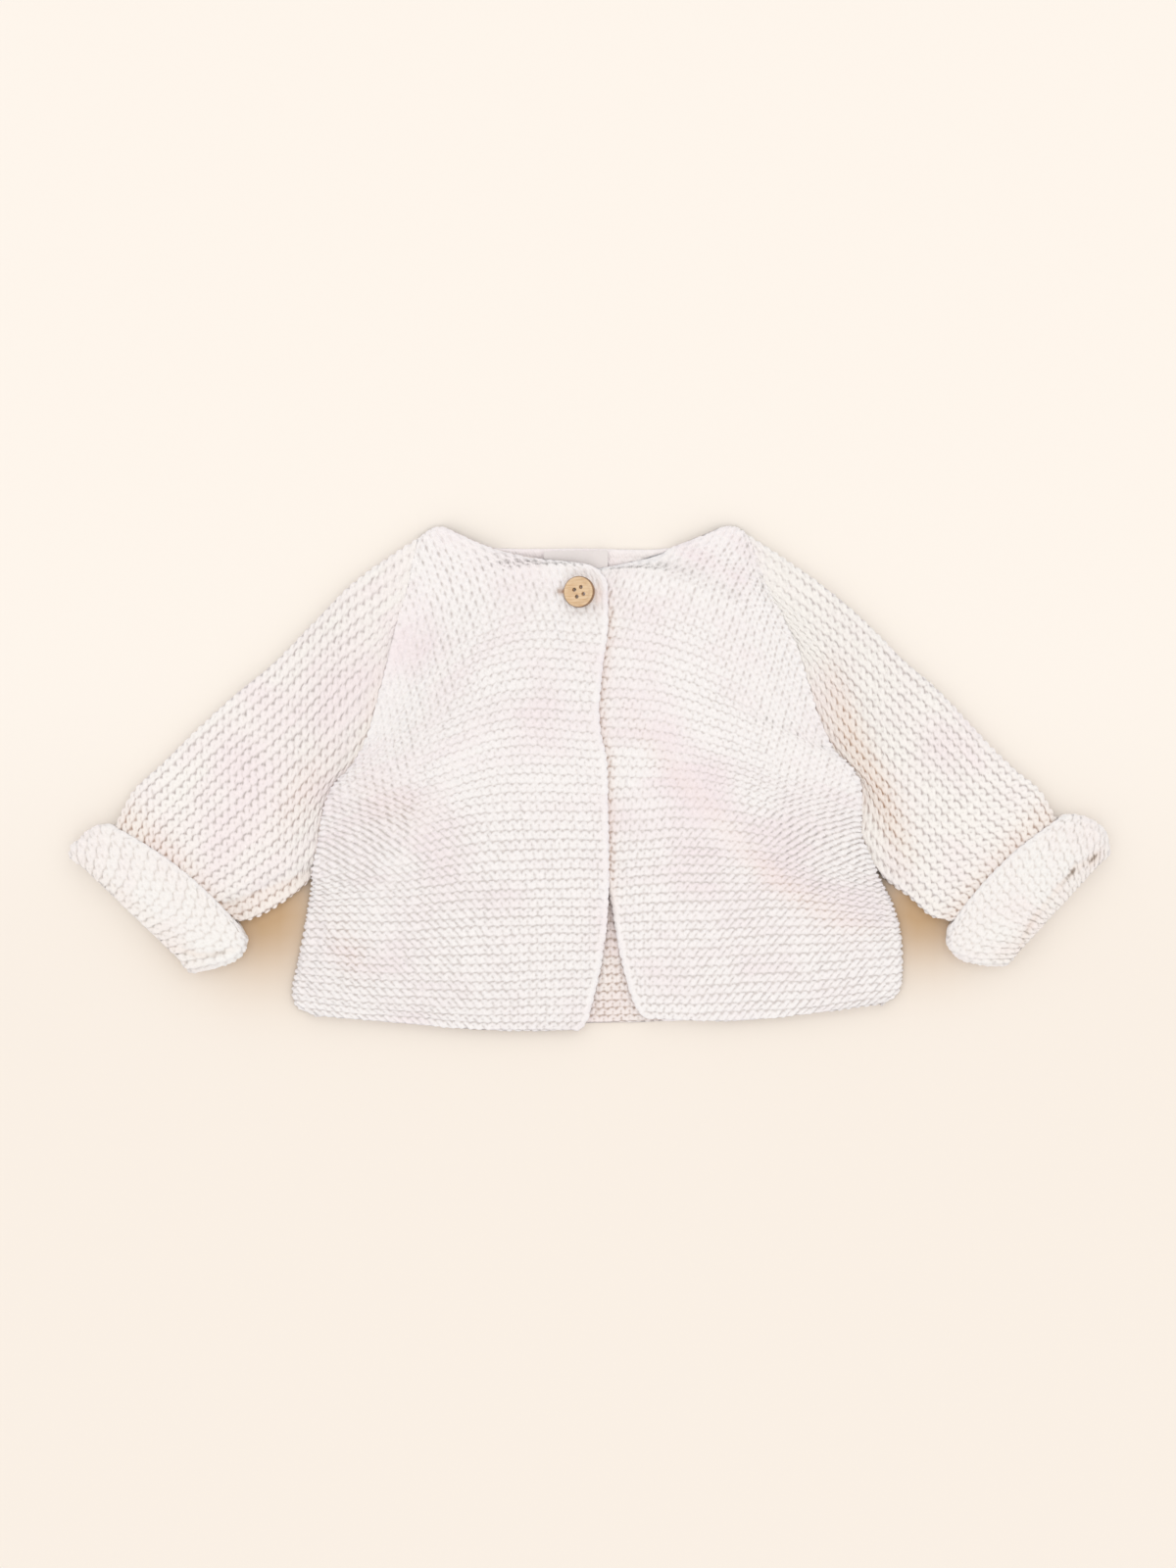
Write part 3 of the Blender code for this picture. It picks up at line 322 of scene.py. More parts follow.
def fold_height(folds, x, y):
    """Sum of the soft ridges and troughs at many points."""
    total = np.zeros_like(x)
    for start, middle, end, half_width, height in folds:
        t = np.linspace(0, 1, 25)[:, None]
        a, m, b = np.array(start), np.array(middle), np.array(end)
        line = (1 - t) ** 2 * a + 2 * t * (1 - t) * (2 * m - (a + b) / 2) + t**2 * b
        nearest, way = distance_to(line, x, y)
        total += height * fading(nearest, half_width) * (0.35 + 0.65 * np.sin(np.pi * way))
    return total


def lifted(rest, folds, x, y):
    """Space under a wall, and how far a trough presses the wall itself in."""
    fold = fold_height(folds, x, y)
    return np.clip(rest + fold, LEAST_GAP, MOST_GAP), 0.35 * np.minimum(fold, 0.0)


# %% [markdown]
# ## One garter stitch
#
# Seen from above, a ridge is a rope of two strands. The loops of one row make a line of small arches along
# its upper side, and the loops of the next row follow them more quietly below. Between two ridges is left
# a thin furrow, scalloped by the arches, and a small hole where two arches meet. Modelling every loop as a
# tube would take millions of faces. The height of the strands above the cloth gives the same picture, and
# each stitch is lifted and shifted a little by its own number, because hands are not machines.

# %% The height of a stitch
RIDGE_PITCH = 4.4
YARN = 1.25  # radius of a strand
STRANDS = 0.8  # distance of each strand from the ridge's middle
BODY_ARCH = 0.66  # how far the arches swing to both sides
SLEEVE_ARCH = 0.8  # the sleeves hang looser, so their arches are rounder
STANDING = 0.32  # how much higher a loop is at its top than at its feet
FURROW = -0.85
FLAT_FURROW = -0.2  # where the cloth is pulled flat
HOLE_WIDTH = 0.15  # of a stitch
HOLE_LENGTH = 0.38  # of a ridge
FEET_HOLE = 0.3  # depth of the gap where two arches meet
INSIDE_HOLE = 0.85  # and of the one inside an arch
GROOVE = 0.2  # depth of the thin line that each furrow keeps under the arches
GROOVE_WIDTH = 0.15  # of a ridge
UNEVEN = 0.16  # how much single loops differ in height
BETWEEN_STRANDS = -0.16  # height of the yarn seen between a ridge's two strands
HIGHEST = 0.3  # about as high as a loop stands
DEEPEST = -1.15  # nothing goes further into the wall


def own_number(a, b, salt):
    """A number from 0 to 1 that each stitch keeps."""
    value = np.sin(a * 12.9898 + b * 78.233 + salt * 37.719) * 43758.5453
    return value - np.floor(value)


def wandering(stitch, ridge):
    """How far a row strays from its ruled place, in ridges: hands are not machines."""
    slow = np.sin(0.31 * stitch + 0.23 * ridge) * np.sin(0.17 * stitch - 0.41 * ridge + 1.3)
    quick = np.sin(0.9 * stitch + 2.1 * ridge + 0.7) * np.sin(0.53 * stitch - 1.7 * ridge)
    return 0.12 * slow + 0.07 * quick


def hole(stitch, ridge, at_stitch, at_ridge, slant, salt):
    """Depth from 0 to about 1 of the small gap nearest to each point, one in every stitch and ridge."""
    n, r = np.round(stitch - at_stitch), np.round(ridge - at_ridge)
    beside = stitch - n - at_stitch + 0.24 * (own_number(n, r, salt) - 0.5)
    above = ridge - r - at_ridge + 0.12 * (own_number(n, r, salt + 1) - 0.5)
    size = 0.7 + 0.5 * own_number(n, r, salt + 2)
    return size * spot(beside + 0.8 * slant * above, above, (0, 0), (HOLE_WIDTH, HOLE_LENGTH))


def garter(stitch, ridge, arch, line=1.0, slant=0.0, open_knit=1.0):
    """Height of the yarn in mm at a place counted in stitches and ridges."""
    ridge = ridge + wandering(stitch, ridge)
    row = np.floor(ridge)
    floor = blend(FLAT_FURROW, FURROW, line) + np.zeros(stitch.shape)
    best = floor.copy()
    for neighbour in (-1, 0, 1):
        number = row + neighbour
        across = (ridge - number - 0.5) * RIDGE_PITCH
        own = own_number(number, 0 * number, 3)
        at = stitch + 0.12 * (own - 0.5)
        loop = np.floor(at + 0.5)
        root = np.sqrt(np.cos(np.pi * at) ** 2 + 0.03)
        bow, slope = 2 * root - 1.2, -2 * np.pi * np.sin(np.pi * at) * np.cos(np.pi * at) / root
        for side, follow, standing in ((1, 1.0, STANDING), (-1, 0.7, 0.1)):
            lift = UNEVEN * (own_number(loop, number, side) - 0.5)
            swing = follow * arch * (0.75 + 0.5 * own_number(loop, number, 5))
            lean = swing * slope / BODY_STITCH
            off = (across - side * STRANDS - swing * bow) / np.sqrt(1 + lean**2)
            round_part = np.sqrt(np.maximum(YARN**2 - off**2, 0)) - YARN
            height = lift + standing * bow + round_part
            best = np.maximum(best, np.where(np.abs(off) < YARN, height, floor))
        middle = 1 - (across / (STRANDS + 0.2)) ** 2
        best = np.maximum(best, np.where(middle > 0, BETWEEN_STRANDS + 0.06 * bow, floor))
    feet = hole(stitch, ridge, 0.5, 0.02, slant, 11)
    inside = hole(stitch, ridge, 0.0, 0.55, slant, 17)
    holes = (1.8 - 0.8 * line) * open_knit * (FEET_HOLE * feet + INSIDE_HOLE * inside)
    between = fading(ridge - np.round(ridge), GROOVE_WIDTH)
    return best - holes - GROOVE * (0.3 + 0.7 * line) * between


# %% [markdown]
# ## From points to a wall of cloth
#
# Each piece is a closed wall: a fine skin that carries the stitches, a plain lining, and a rim between
# them. The skin is moved along its own normals, so that stitches also stand out sideways where the cloth
# rolls over at a fold, and the outline of the cardigan is as knobbly as the real one. Three marks are kept on
# every point for the material: how high the yarn stands, which it turns into painted shade at the bottom of
# the furrows; how rose it is, the yarn's own colour that along the troughs of folds is painted shade; and
# how much painted shade it gets in creases, in hollows and beside other pieces. The map called stitches
# tells it where it is, counted in stitches and ridges.

# %% Skin, lining and rim
LINING_MARK = 0.3  # every mark on the lining, which hardly shows


def normals_of(grid, closed):
    """Unit normals of a grid of points, rows by columns. A closed grid's columns run round a tube."""
    down = np.gradient(grid, axis=0)
    if closed:
        along = (np.roll(grid, -1, axis=1) - np.roll(grid, 1, axis=1)) / 2
    else:
        along = np.gradient(grid, axis=1)
    normal = np.cross(along, down)
    length = np.linalg.norm(normal, axis=2, keepdims=True)
    outward = np.sign(normal[:, : grid.shape[1] // 2, 2].mean())
    return outward * normal / np.maximum(length, 1e-9)


def knitted(grid, stitch, ridge, amount, arch, closed=False, **looks):
    """A skin with its stitches raised, and the height of the yarn from 0 to 1."""
    normal = normals_of(grid, closed)
    height = garter(stitch, ridge, arch, **looks)
    raised = grid + normal * (np.maximum(height, DEEPEST) * amount)[..., None]
    return raised, 1 - (HIGHEST - height) / (HIGHEST - DEEPEST) * amount


def furrows_lightened(height, share):
    """The mark of the yarn's height with less painted shade in its furrows."""
    return 1 - (1 - height) * (1 - share)


def quads(first, rows, columns, closed):
    """Corner numbers of the faces between the points of a grid."""
    number = first + np.arange(rows * columns).reshape(rows, columns)
    right = np.roll(number, -1, axis=1)
    faces = np.stack((number[:-1], right[:-1], right[1:], number[1:]), axis=-1)
    return (faces if closed else faces[:, :-1]).reshape(-1, 4).tolist()


def zipped(a, b):
    """Triangles between two closed loops, each a list of (way round from 0 to 1, point number)."""
    a, b = a + [(1.0, a[0][1])], b + [(1.0, b[0][1])]
    faces, i, j = [], 0, 0
    while i < len(a) - 1 or j < len(b) - 1:
        if j == len(b) - 1 or (i < len(a) - 1 and a[i + 1][0] <= b[j + 1][0]):
            faces.append((a[i][1], a[i + 1][1], b[j][1]))
            i += 1
        else:
            faces.append((a[i][1], b[j + 1][1], b[j][1]))
            j += 1
    return faces


def border(first, row_ways, column_ways):
    """The border of an open grid as one loop, each side a quarter of the way round."""
    n, m = len(row_ways), len(column_ways)
    number = first + np.arange(n * m).reshape(n, m)
    sides = (
        (number[:, 0], [w / 4 for w in row_ways]),
        (number[-1], [(1 + w) / 4 for w in column_ways]),
        (number[::-1, -1], [(3 - w) / 4 for w in row_ways[::-1]]),
        (number[0, ::-1], [(4 - w) / 4 for w in column_ways[::-1]]),
    )
    return [(float(way), int(p)) for points, ways in sides for p, way in list(zip(points, ways))[:-1]]


def panel_rim(ways, lining_ways):
    """Faces between the borders of an open skin and its lining, each given by its ways down and across."""
    return zipped(border(0, *ways), border(len(ways[0]) * len(ways[1]), *lining_ways))


def ring(first, columns, row, ways):
    """One row of a closed grid as a loop."""
    return [(float(way), first + row * columns + i) for i, way in enumerate(ways)]


def tube_rims(skin, skin_ways, lining, steps):
    """Faces between the two ends of a tube's skin and those of its lining."""
    (rows, columns), (inner_rows, inner_columns) = skin.shape[:2], lining.shape[:2]
    lining_ways = np.concatenate((steps, 2 - steps[-2:0:-1])) / 2
    faces = []
    for row, inner_row in ((0, 0), (rows - 1, inner_rows - 1)):
        outer = ring(0, columns, row, skin_ways[row])
        faces += zipped(outer, ring(rows * columns, inner_columns, inner_row, lining_ways))
    return faces


def knitted_tube(over, under, stitch, ridge, amount, arch, **looks):
    """The skin of a tube that lies flat, its lower half plain, its counts, and the yarn's height above."""
    plain = np.zeros(under.shape[:2])
    stitch, ridge, amount = (np.concatenate((values, plain), axis=1) for values in (stitch, ridge, amount))
    grid = np.concatenate((over, under), axis=1)
    skin, height = knitted(grid, stitch, ridge, amount, arch, closed=True, **looks)
    return skin, np.dstack((stitch, ridge)), height[:, : over.shape[1]]


def over_plain(values, under, plain):
    """A mark of a tube's upper half, and one plain value for the lower one."""
    return np.concatenate((values, np.full(under.shape[:2], plain)), axis=1)


def wall(name, skin, counts, marks, lining, rim_faces, closed=False):
    """A closed mesh from two grids of points in the tables' millimetres, with its counts and marks."""
    points = np.concatenate((skin.reshape(-1, 3), lining.reshape(-1, 3)))
    points = (points - ORIGIN) * MM
    faces = quads(0, *skin.shape[:2], closed)
    faces += quads(skin.shape[0] * skin.shape[1], *lining.shape[:2], closed)
    mesh = bpy.data.meshes.new(name)
    mesh.from_pydata(points.tolist(), [], faces + rim_faces)
    bm = bmesh.new()
    bm.from_mesh(mesh)
    bmesh.ops.recalc_face_normals(bm, faces=bm.faces)
    bm.to_mesh(mesh)
    bm.free()
    mesh.shade_smooth()
    corners = np.zeros(len(mesh.loops), np.int32)
    mesh.loops.foreach_get("vertex_index", corners)
    plain = np.zeros((len(points) - counts.reshape(-1, 2).shape[0], 2))
    spots = np.concatenate((counts.reshape(-1, 2), plain))
    mesh.uv_layers.new(name="stitches").data.foreach_set("uv", spots[corners].ravel())
    for mark, values in marks.items():
        on_points = np.concatenate((values.ravel(), np.full(len(plain), LINING_MARK)))
        mesh.attributes.new(mark, "FLOAT", "POINT").data.foreach_set("value", on_points)
    obj = bpy.data.objects.new(name, mesh)
    bpy.context.scene.collection.objects.link(obj)
    print(f"{name}: {len(mesh.vertices)} points, {sum(len(p.vertices) - 2 for p in mesh.polygons)} triangles")
    return obj


# %% [markdown]
# ## Counting stitches across a front
#
# The columns of stitches stand square to the ridges, as they do in real knitting. Where the ridges rise
# towards a shoulder, the columns lean. The count along each ridge is its length in stitches, and each ridge
# starts its count so that it is, on average, square to the one before.

# %% Stitch numbers
def stitch_numbers(xy, width):
    """How many stitches lie before each point of a grid whose rows follow the ridges."""
    steps = np.linalg.norm(np.diff(xy, axis=1), axis=2)
    arc = np.concatenate((np.zeros((len(xy), 1)), np.cumsum(steps, axis=1)), axis=1)
    along = np.gradient(xy, axis=1)
    along /= np.maximum(np.linalg.norm(along, axis=2, keepdims=True), 1e-9)
    slip = (np.diff(xy, axis=0) * (along[:-1] + along[1:]) / 2).sum(axis=2) - np.diff(arc, axis=0)
    start = np.concatenate(((0.0,), np.cumsum(slip.mean(axis=1))))
    return (arc + start[:, None]) / width


# %% [markdown]
# ## The fronts
#
# A front is a panel whose edges differ. At the side and at the armhole the cloth rolls over, because there
# it goes on into the back and under the sleeve. At the shoulder it runs on into the sleeve without a line.
# Its front edge and neckline are a smooth selvedge, and its hem is the bumpy cast-on row.

# %% A front
# start, middle and end of a line, half width, share that is taken or given
CALM = (
    ((-79.5, 93.6), (-89.5, 52.7), (-102.3, 11.8), 9.0, 0.5),
    ((-50.0, 25.5), (-72.7, -15.5), (-104.5, -65.5), 6.0, 0.25),
    ((27.3, 43.6), (63.6, -24.5), (127.3, -70.0), 7.0, 0.3),
)
SHADE_ON_FRONTS = (
    ((60, -17), (95, -52), (134, -69), 6, 0.4),
    ((18, 32), (38, 6), (60, -17), 5, 0.25),
    ((-104, 2), (-90, -12), (-72, -12), 9, 0.22),
    ((-118, -62), (-110, -80), (-104, -86), 8, 0.28),
)
# the yarn's rose patches: partly its own colour, partly painted shade along the troughs of folds
ROSE_AND_PAINTED_SHADE = (
    ((-88, 84), (-138, 22), (-195, -36), 27, 0.95),
    ((-112, -5), (-85, -30), (-45, -60), 21, 0.75),
    ((-118, -70), (-108, -82), (-95, -80), 10, 0.5),
    ((-28, 62), (-22, 35), (-14, 8), 15, 0.6),
    ((16, 86), (24, 60), (28, 32), 12, 0.6),
    ((23, 30), (64, -16), (132, -62), 13, 1.0),
    ((32, -38), (50, -50), (68, -58), 13, 0.6),
    ((64, 112), (74, 106), (84, 98), 9, 0.4),
    ((150, 32), (170, 12), (186, -8), 14, 0.8),
)
BUTTONHOLE = (-12.3, 87.0)  # its open end, beside the button
BUTTONHOLE_DEPTH = 2.3
BESIDE_BUTTON = (4.6, 85.6)  # where the raised side of the button shades the cloth
NECKLINE_RIDGE = 45  # where the front edge ends and the neckline begins
SIDE_ROLL, RIM_ROLL, HEM_ROLL, SHOULDER_ROLL = 3.2, 2.6, 1.8, 3.0  # radii with which the borders roll down
SHOULDER_LOW = 0.8  # height at which the shoulder's border begins
ABOVE_BACK = 0.5  # and the free ones, above the back
SELVEDGE = (1.7, 1.2, 0.2)  # distance from the rim, width and height of its soft ridge
SIDE_BEAD, EDGE_BEAD, HEM_BEAD = 0.35, 0.45, 0.4  # how far single ridges and stitches stand out
BEAD_REACH = 2.2
OVERHANG = 1.15  # how far a front's side reaches over the sleeve


def beads(count):
    """0 at every whole number, and a round bump between them."""
    return np.sqrt(np.abs(np.sin(np.pi * count)))


def edge_of(table, column, last_ridge, y):
    """x of a front's edge at many heights."""
    rows = [row for row in table if row[0] <= last_ridge]
    keys = np.array([row[column][1] for row in rows])
    at = np.clip(y, keys[0], keys[-1])
    weights = curve_weights(keys, at.ravel())
    return (weights @ np.array([row[column][0] for row in rows])).reshape(y.shape)


def front_gap(x, y, ridge, to_side, to_edge, folds, over_left):
    """Space between a front and the back."""
    gap, press = lifted(REST_GAP, folds, x, y)
    gap = blend(gap, HEM_GAP, 1 - ease(ridge / 3))
    at_side = blend(LEAST_GAP, OVER_SLEEVE, ease((ridge - 12) / 8))
    at_side = blend(at_side, REST_GAP, ease((ridge - FLUSH_RIDGE + 4) / 5))
    gap = blend(gap, at_side, 1 - ease((to_side - TUCK - 1) / 8))
    at_edge = LEAST_GAP
    if over_left:
        at_edge = blend(LEAST_GAP, REST_GAP, ease((ridge - NECKLINE_RIDGE) / 4))
        lap = ease((x - edge_of(FRONT_LEFT, 1, 45, y) + 9.0) / 8) * ease((ridge - 9) / 3)
        at_edge = blend(at_edge, OVER_FRONT, lap)
        gap = blend(gap, OVER_FRONT, lap)
    else:
        gap = blend(gap, LEAST_GAP, 1 - ease((x - edge_of(FRONT_RIGHT, -1, 49, y) - 4) / 9))
    return blend(gap, at_edge, 1 - ease((to_edge - 1.0) / 8)), press


def front_points(table, folds, rows, columns, side_first):
    """Places on a front, the space under it, and how far each is from its side and its edge."""
    line = sections(table, rows)
    xy = np.einsum("uc,rcd->rud", curve_weights(np.linspace(0, 1, 4), columns), line)
    width = np.linalg.norm(line[:, -1] - line[:, 0], axis=1)[:, None]
    to_side = (columns if side_first else 1 - columns)[None] * width
    to_edge = width - to_side
    ridge = np.repeat(rows[:, None], len(columns), axis=1)
    gap, press = front_gap(xy[..., 0], xy[..., 1], ridge, to_side, to_edge, folds, side_first)
    return xy, ridge, gap, press, to_side, to_edge


def close_ends(inner, last, steps=(0, 0.03, 0.08)):
    """Places with a few close steps before the first and after the last."""
    steps = np.array(steps)
    return np.concatenate((steps, inner, last - steps[::-1]))


def dense_ends(count, steps):
    """Even places from 0 to 1, with closer ones at both ends."""
    return close_ends(np.linspace(steps[-1], 1 - steps[-1], count), 1, steps[:-1])


def rows_of(table, ridges, edge_column):
    """Rows of a front: even, but closer where the neckline runs nearly along the ridges."""
    even = np.linspace(0.16, ridges - 0.16, 1500)
    edge = sections(table, even)[:, edge_column]
    speed = np.linalg.norm(np.gradient(edge, axis=0), axis=1) / (even[1] - even[0])
    count = np.cumsum(np.clip(speed / 0.9, ROWS_A_RIDGE, 18)) * (even[1] - even[0])
    inner = np.interp(np.linspace(count[0], count[-1], int(count[-1])), count, even)
    return close_ends(inner, ridges)


def front(name, table, folds, ridges, side_first):
    """side_first: the right front, whose table starts at the side, and which lies on the left one."""
    side, edge, inner = (0, -1, 12) if side_first else (-1, 0, -13)
    columns = dense_ends(FRONT_COLUMNS, (0.0, 0.0009, 0.0025, 0.005, 0.009))
    rows = rows_of(table, ridges, edge)
    xy, ridge, gap, press, to_side, to_edge = front_points(table, folds, rows, columns, side_first)
    x, y = xy[..., 0], xy[..., 1]
    top = BACK_WALL + gap + WALL + LEVEL + press

    # the side rolls down to the table below the arm, on to the sleeve beside it, and is level at the shoulder
    at_arm = ease((ridge - 15) / 7)
    upper = ease((ridge - 30) / 12)
    flush = ease((ridge - FLUSH_RIDGE + 5) / 4)
    low = blend(0.6 + 4.6 * at_arm + 0.7 * upper, top - 0.05, flush)
    top = rounded(low, top, to_side, SIDE_ROLL - 0.6 * at_arm + 10 * upper)

    # the neckline rolls down, but less over the label; then come the edge, the hem and the shoulder
    on_label = ease((x + 27) / 5) * ease((14 - x) / 5)
    at_neck = ease((ridge - NECKLINE_RIDGE) / 3)
    free = BACK_WALL + ABOVE_BACK + gap * (1 - 0.8 * at_neck * (1 - on_label))
    neckline = sections(table, np.linspace(44, ridges, 40))[:, edge]
    to_rim = np.minimum(to_edge, distance_to(neckline, x, y)[0])
    top = rounded(free, top, to_rim, RIM_ROLL)
    top = rounded(free, top, ridge * RIDGE_PITCH, HEM_ROLL)
    top = rounded(SHOULDER_LOW, top, (ridges - ridge) * RIDGE_PITCH, SHOULDER_ROLL)
    if side_first:
        top = top - BUTTONHOLE_DEPTH * spot(x, y, BUTTONHOLE, (1.5, 1.3))
    top = top + SELVEDGE[2] * fading(to_rim - SELVEDGE[0], SELVEDGE[1]) * ease(ridge / 2)

    # the free edges are knobbly: a bead for each ridge or stitch
    stitch = stitch_numbers(xy, BODY_STITCH)
    over_sleeve = OVERHANG * ease((ridge - 19) / 3) * (1 - 0.25 * flush)
    at_side = (over_sleeve + SIDE_BEAD * beads(ridge)) * (1 - ease(to_side / BEAD_REACH))
    at_edge = EDGE_BEAD * beads(ridge) * (1 - ease(to_edge / BEAD_REACH)) * ease((47 - ridge) / 2)
    xy = xy + unit(xy[:, side] - xy[:, inner])[:, None] * at_side[..., None]
    xy = xy + unit(xy[:, edge] - xy[:, -1 - inner])[:, None] * at_edge[..., None]
    xy[..., 1] -= HEM_BEAD * beads(stitch) * (1 - ease(ridge * RIDGE_PITCH / BEAD_REACH))

    # stitches stand less near the rim and in calm stretches, and furrows are flat at the side and the neck
    quiet = 0.35 + 0.25 * ease((ridge - 46) / 3)
    amount = blend(quiet, 1, ease((to_rim - 1.5) / (2.0 + 2.5 * at_neck)))
    amount = amount * (1 - 0.8 * np.clip(fold_height(CALM, x, y), 0, 1))
    line = 1 - 0.8 * ease((y + 62) / 30) * ease((62 - to_side) / 30)
    line = line * (1 - 0.7 * ease((y - 60) / 25))
    line = line * (1 - 0.9 * ease((16 - to_rim) / 10) * ease((ridge - 44) / 3))
    slant = (1 if side_first else -1) * ease((20 - y) / 50) * ease((np.abs(x) - 10) / 60)
    grid = np.dstack((xy, top))
    skin, height = knitted(grid, stitch, ridge, amount, BODY_ARCH, line=line, slant=slant)

    plain_ways = np.linspace(0, 1, LINING_ROWS).tolist(), np.linspace(0, 1, 25).tolist()
    plain_rows = np.linspace(0.12, ridges - 0.55, LINING_ROWS)
    width = float(np.mean(to_side[:, 0] + to_edge[:, 0]))
    inset = (2.4, 0.6) if side_first else (0.6, 2.4)
    inner = inset[0] / width + np.array(plain_ways[1]) * (1 - sum(inset) / width)
    xy, _, gap, _, _, _ = front_points(table, folds, plain_rows, inner, side_first)
    lining = np.dstack((xy[..., 0], xy[..., 1], BACK_WALL + gap))
    faces = panel_rim(((rows / ridges).tolist(), columns.tolist()), plain_ways)

    # the marks: painted shade in the buttonhole and beside the lap and the button, and furrows painted
    # lighter at the neck and towards the shoulders
    painted_shade = fold_height(SHADE_ON_FRONTS, x, y)
    if side_first:
        height = height - 0.9 * spot(x - 0.6, y, BUTTONHOLE, (1.3, 1.0))
        painted_shade += 1.2 * spot(x, y, BESIDE_BUTTON, (1.5, 4.5))
        painted_shade += 1.6 * spot(x, y, BUTTONHOLE, (1.6, 1.3))
    else:
        beside_lap = np.maximum(x - edge_of(FRONT_RIGHT, -1, 49, y), 0)
        painted_shade += 0.8 * fading(beside_lap, 3.0) * ease((96 - y) / 8)
    height = furrows_lightened(height, 0.6 * at_neck * (1 - ease((to_rim - 5) / 7)))
    height = furrows_lightened(height, 0.2 * ease((y + 35) / 40))
    marks = {"yarn_height": height, "rose_and_painted_shade": fold_height(ROSE_AND_PAINTED_SHADE, x, y), "painted_shade": np.clip(painted_shade, 0, 1)}
    return wall(name, skin, np.dstack((stitch, ridge)), marks, lining, faces)


FRONT_COLUMNS = 214
ROWS_A_RIDGE = 6.9
LINING_ROWS = 58
front_right = front("front_right_knit", FRONT_RIGHT, FRONT_RIGHT_FOLDS, NECK_RIDGES_RIGHT, True)
front_left = front("front_left_knit", FRONT_LEFT, FRONT_LEFT_FOLDS, NECK_RIDGES_LEFT, False)

# %% [markdown]
# ## The back
#
# The back is pressed flat by what lies on it, and it shows in two places: its inside below the neck, and a
# sliver between the two fronts at the hem. Only there does it need fine stitches, so its rows and columns
# are dense there and wide apart everywhere else. Its underside is flat, because it rests on the table.

# %% The back
BACK_INSET = 2.5  # how far the back's sides stay inside those of the fronts
BACK_EDGE = 0.5  # height at which its edges begin
BACK_ROLL = 1.8


def back_points(rows, columns):
    """Places on the back, whose sides follow those of the fronts."""
    right = sections(FRONT_RIGHT, np.minimum(rows, NECK_RIDGES_RIGHT))[:, 0]
    left = sections(FRONT_LEFT, rows)[:, -1]
    middle = sections(BACK, rows)
    places = np.zeros((len(rows), len(columns), 2))
    for i in range(len(rows)):
        line = np.array((right[i], *middle[i], left[i]))
        spread = (line[:, 0] - line[0, 0]) / (line[-1, 0] - line[0, 0])
        inset = BACK_INSET / (line[-1, 0] - line[0, 0])
        places[i] = curve_weights(spread, inset + (1 - 2 * inset) * columns) @ line
    return places


def back(name):
    """The back, with fine rows and columns only where it shows."""
    ridges = NECK_RIDGES_LEFT
    hem, neck = np.linspace(0.16, 16, 108), np.linspace(49, ridges - 0.16, 56)
    rows = close_ends(np.concatenate((hem, np.linspace(17, 48, 22), neck)), ridges)
    stretches = ((0.03, 0.1, 4), (0.11, 0.41, 76), (0.413, 0.61, 96), (0.614, 0.88, 68), (0.9, 0.97, 4))
    columns = np.concatenate([np.linspace(*stretch) for stretch in stretches])
    columns = np.concatenate(((0, 0.002, 0.006), columns, (0.994, 0.998, 1)))
    xy = back_points(rows, columns)
    x, y = xy[..., 0], xy[..., 1]
    ridge = np.repeat(rows[:, None], len(columns), axis=1)
    at_neck = ease((ridge - 49.5) / 1.5) * ease((x + 66) / 6) * ease((60 - x) / 6)
    at_hem = ease((x + 14) / 5) * ease((38 - x) / 5) * (1 - ease((ridge - 15) / 2))
    shown = np.maximum(at_neck, at_hem)
    top = BACK_WALL - 0.35 * shown
    span = np.linalg.norm(xy[:, -1] - xy[:, 0], axis=1)[:, None]
    to_side = np.minimum(columns, 1 - columns)[None] * span
    for distance in (ridge * RIDGE_PITCH, (ridges - ridge) * RIDGE_PITCH, to_side):
        top = rounded(BACK_EDGE, top, distance, BACK_ROLL)
    stitch = stitch_numbers(xy, BODY_STITCH)
    amount = shown * (1 - 0.4 * at_neck) * (0.3 + 0.7 * ease((ridges - ridge - 0.4) / 0.5))
    skin, height = knitted(np.dstack((x, y, top)), stitch, ridge, amount, BODY_ARCH)
    under = back_points(np.linspace(0.05, ridges - 0.05, 40), np.linspace(0.002, 0.998, 11))
    lining = np.dstack((under, np.zeros(under.shape[:2])))
    plain_ways = np.linspace(0, 1, 40).tolist(), np.linspace(0, 1, 11).tolist()
    faces = panel_rim(((rows / ridges).tolist(), columns.tolist()), plain_ways)
    # painted shade where the back shows at the hem and at the neck, whose furrows are painted lighter
    painted_shade = 0.5 * at_hem + 0.15 * at_neck
    marks = {"yarn_height": furrows_lightened(height, 0.8 * at_neck), "rose_and_painted_shade": 0.5 + 0 * x, "painted_shade": painted_shade}
    return wall(name, skin, np.dstack((stitch, ridge)), marks, lining, faces)


back_knit = back("back_knit")

# %% [markdown]
# ## The sleeves
#
# A sleeve is a flattened tube. Its ridges start on the body's own ridges at the shoulder, where both run on
# without a line, crowd together under the arm, and then follow the arm to the wrist. So the upper side is
# laid out ridge by ridge, while the lower side, which nobody sees, needs only a few rows.

# %% The armhole, seen from a sleeve
ARMHOLE_POINTS = 241


def armhole(table, ridges, column):
    """Points down the armhole from the shoulder to the underarm, and how far down each is."""
    line = sections(table, np.linspace(ridges, UNDERARM_RIDGE, ARMHOLE_POINTS))[:, column]
    lengths = np.concatenate(((0.0,), np.cumsum(np.linalg.norm(np.diff(line, axis=0), axis=1))))
    return lengths / lengths[-1], line


def along_armhole(armhole_line, v):
    """Places at given ways down the armhole."""
    ways, line = armhole_line
    return np.stack((np.interp(v, ways, line[:, 0]), np.interp(v, ways, line[:, 1])), axis=-1)


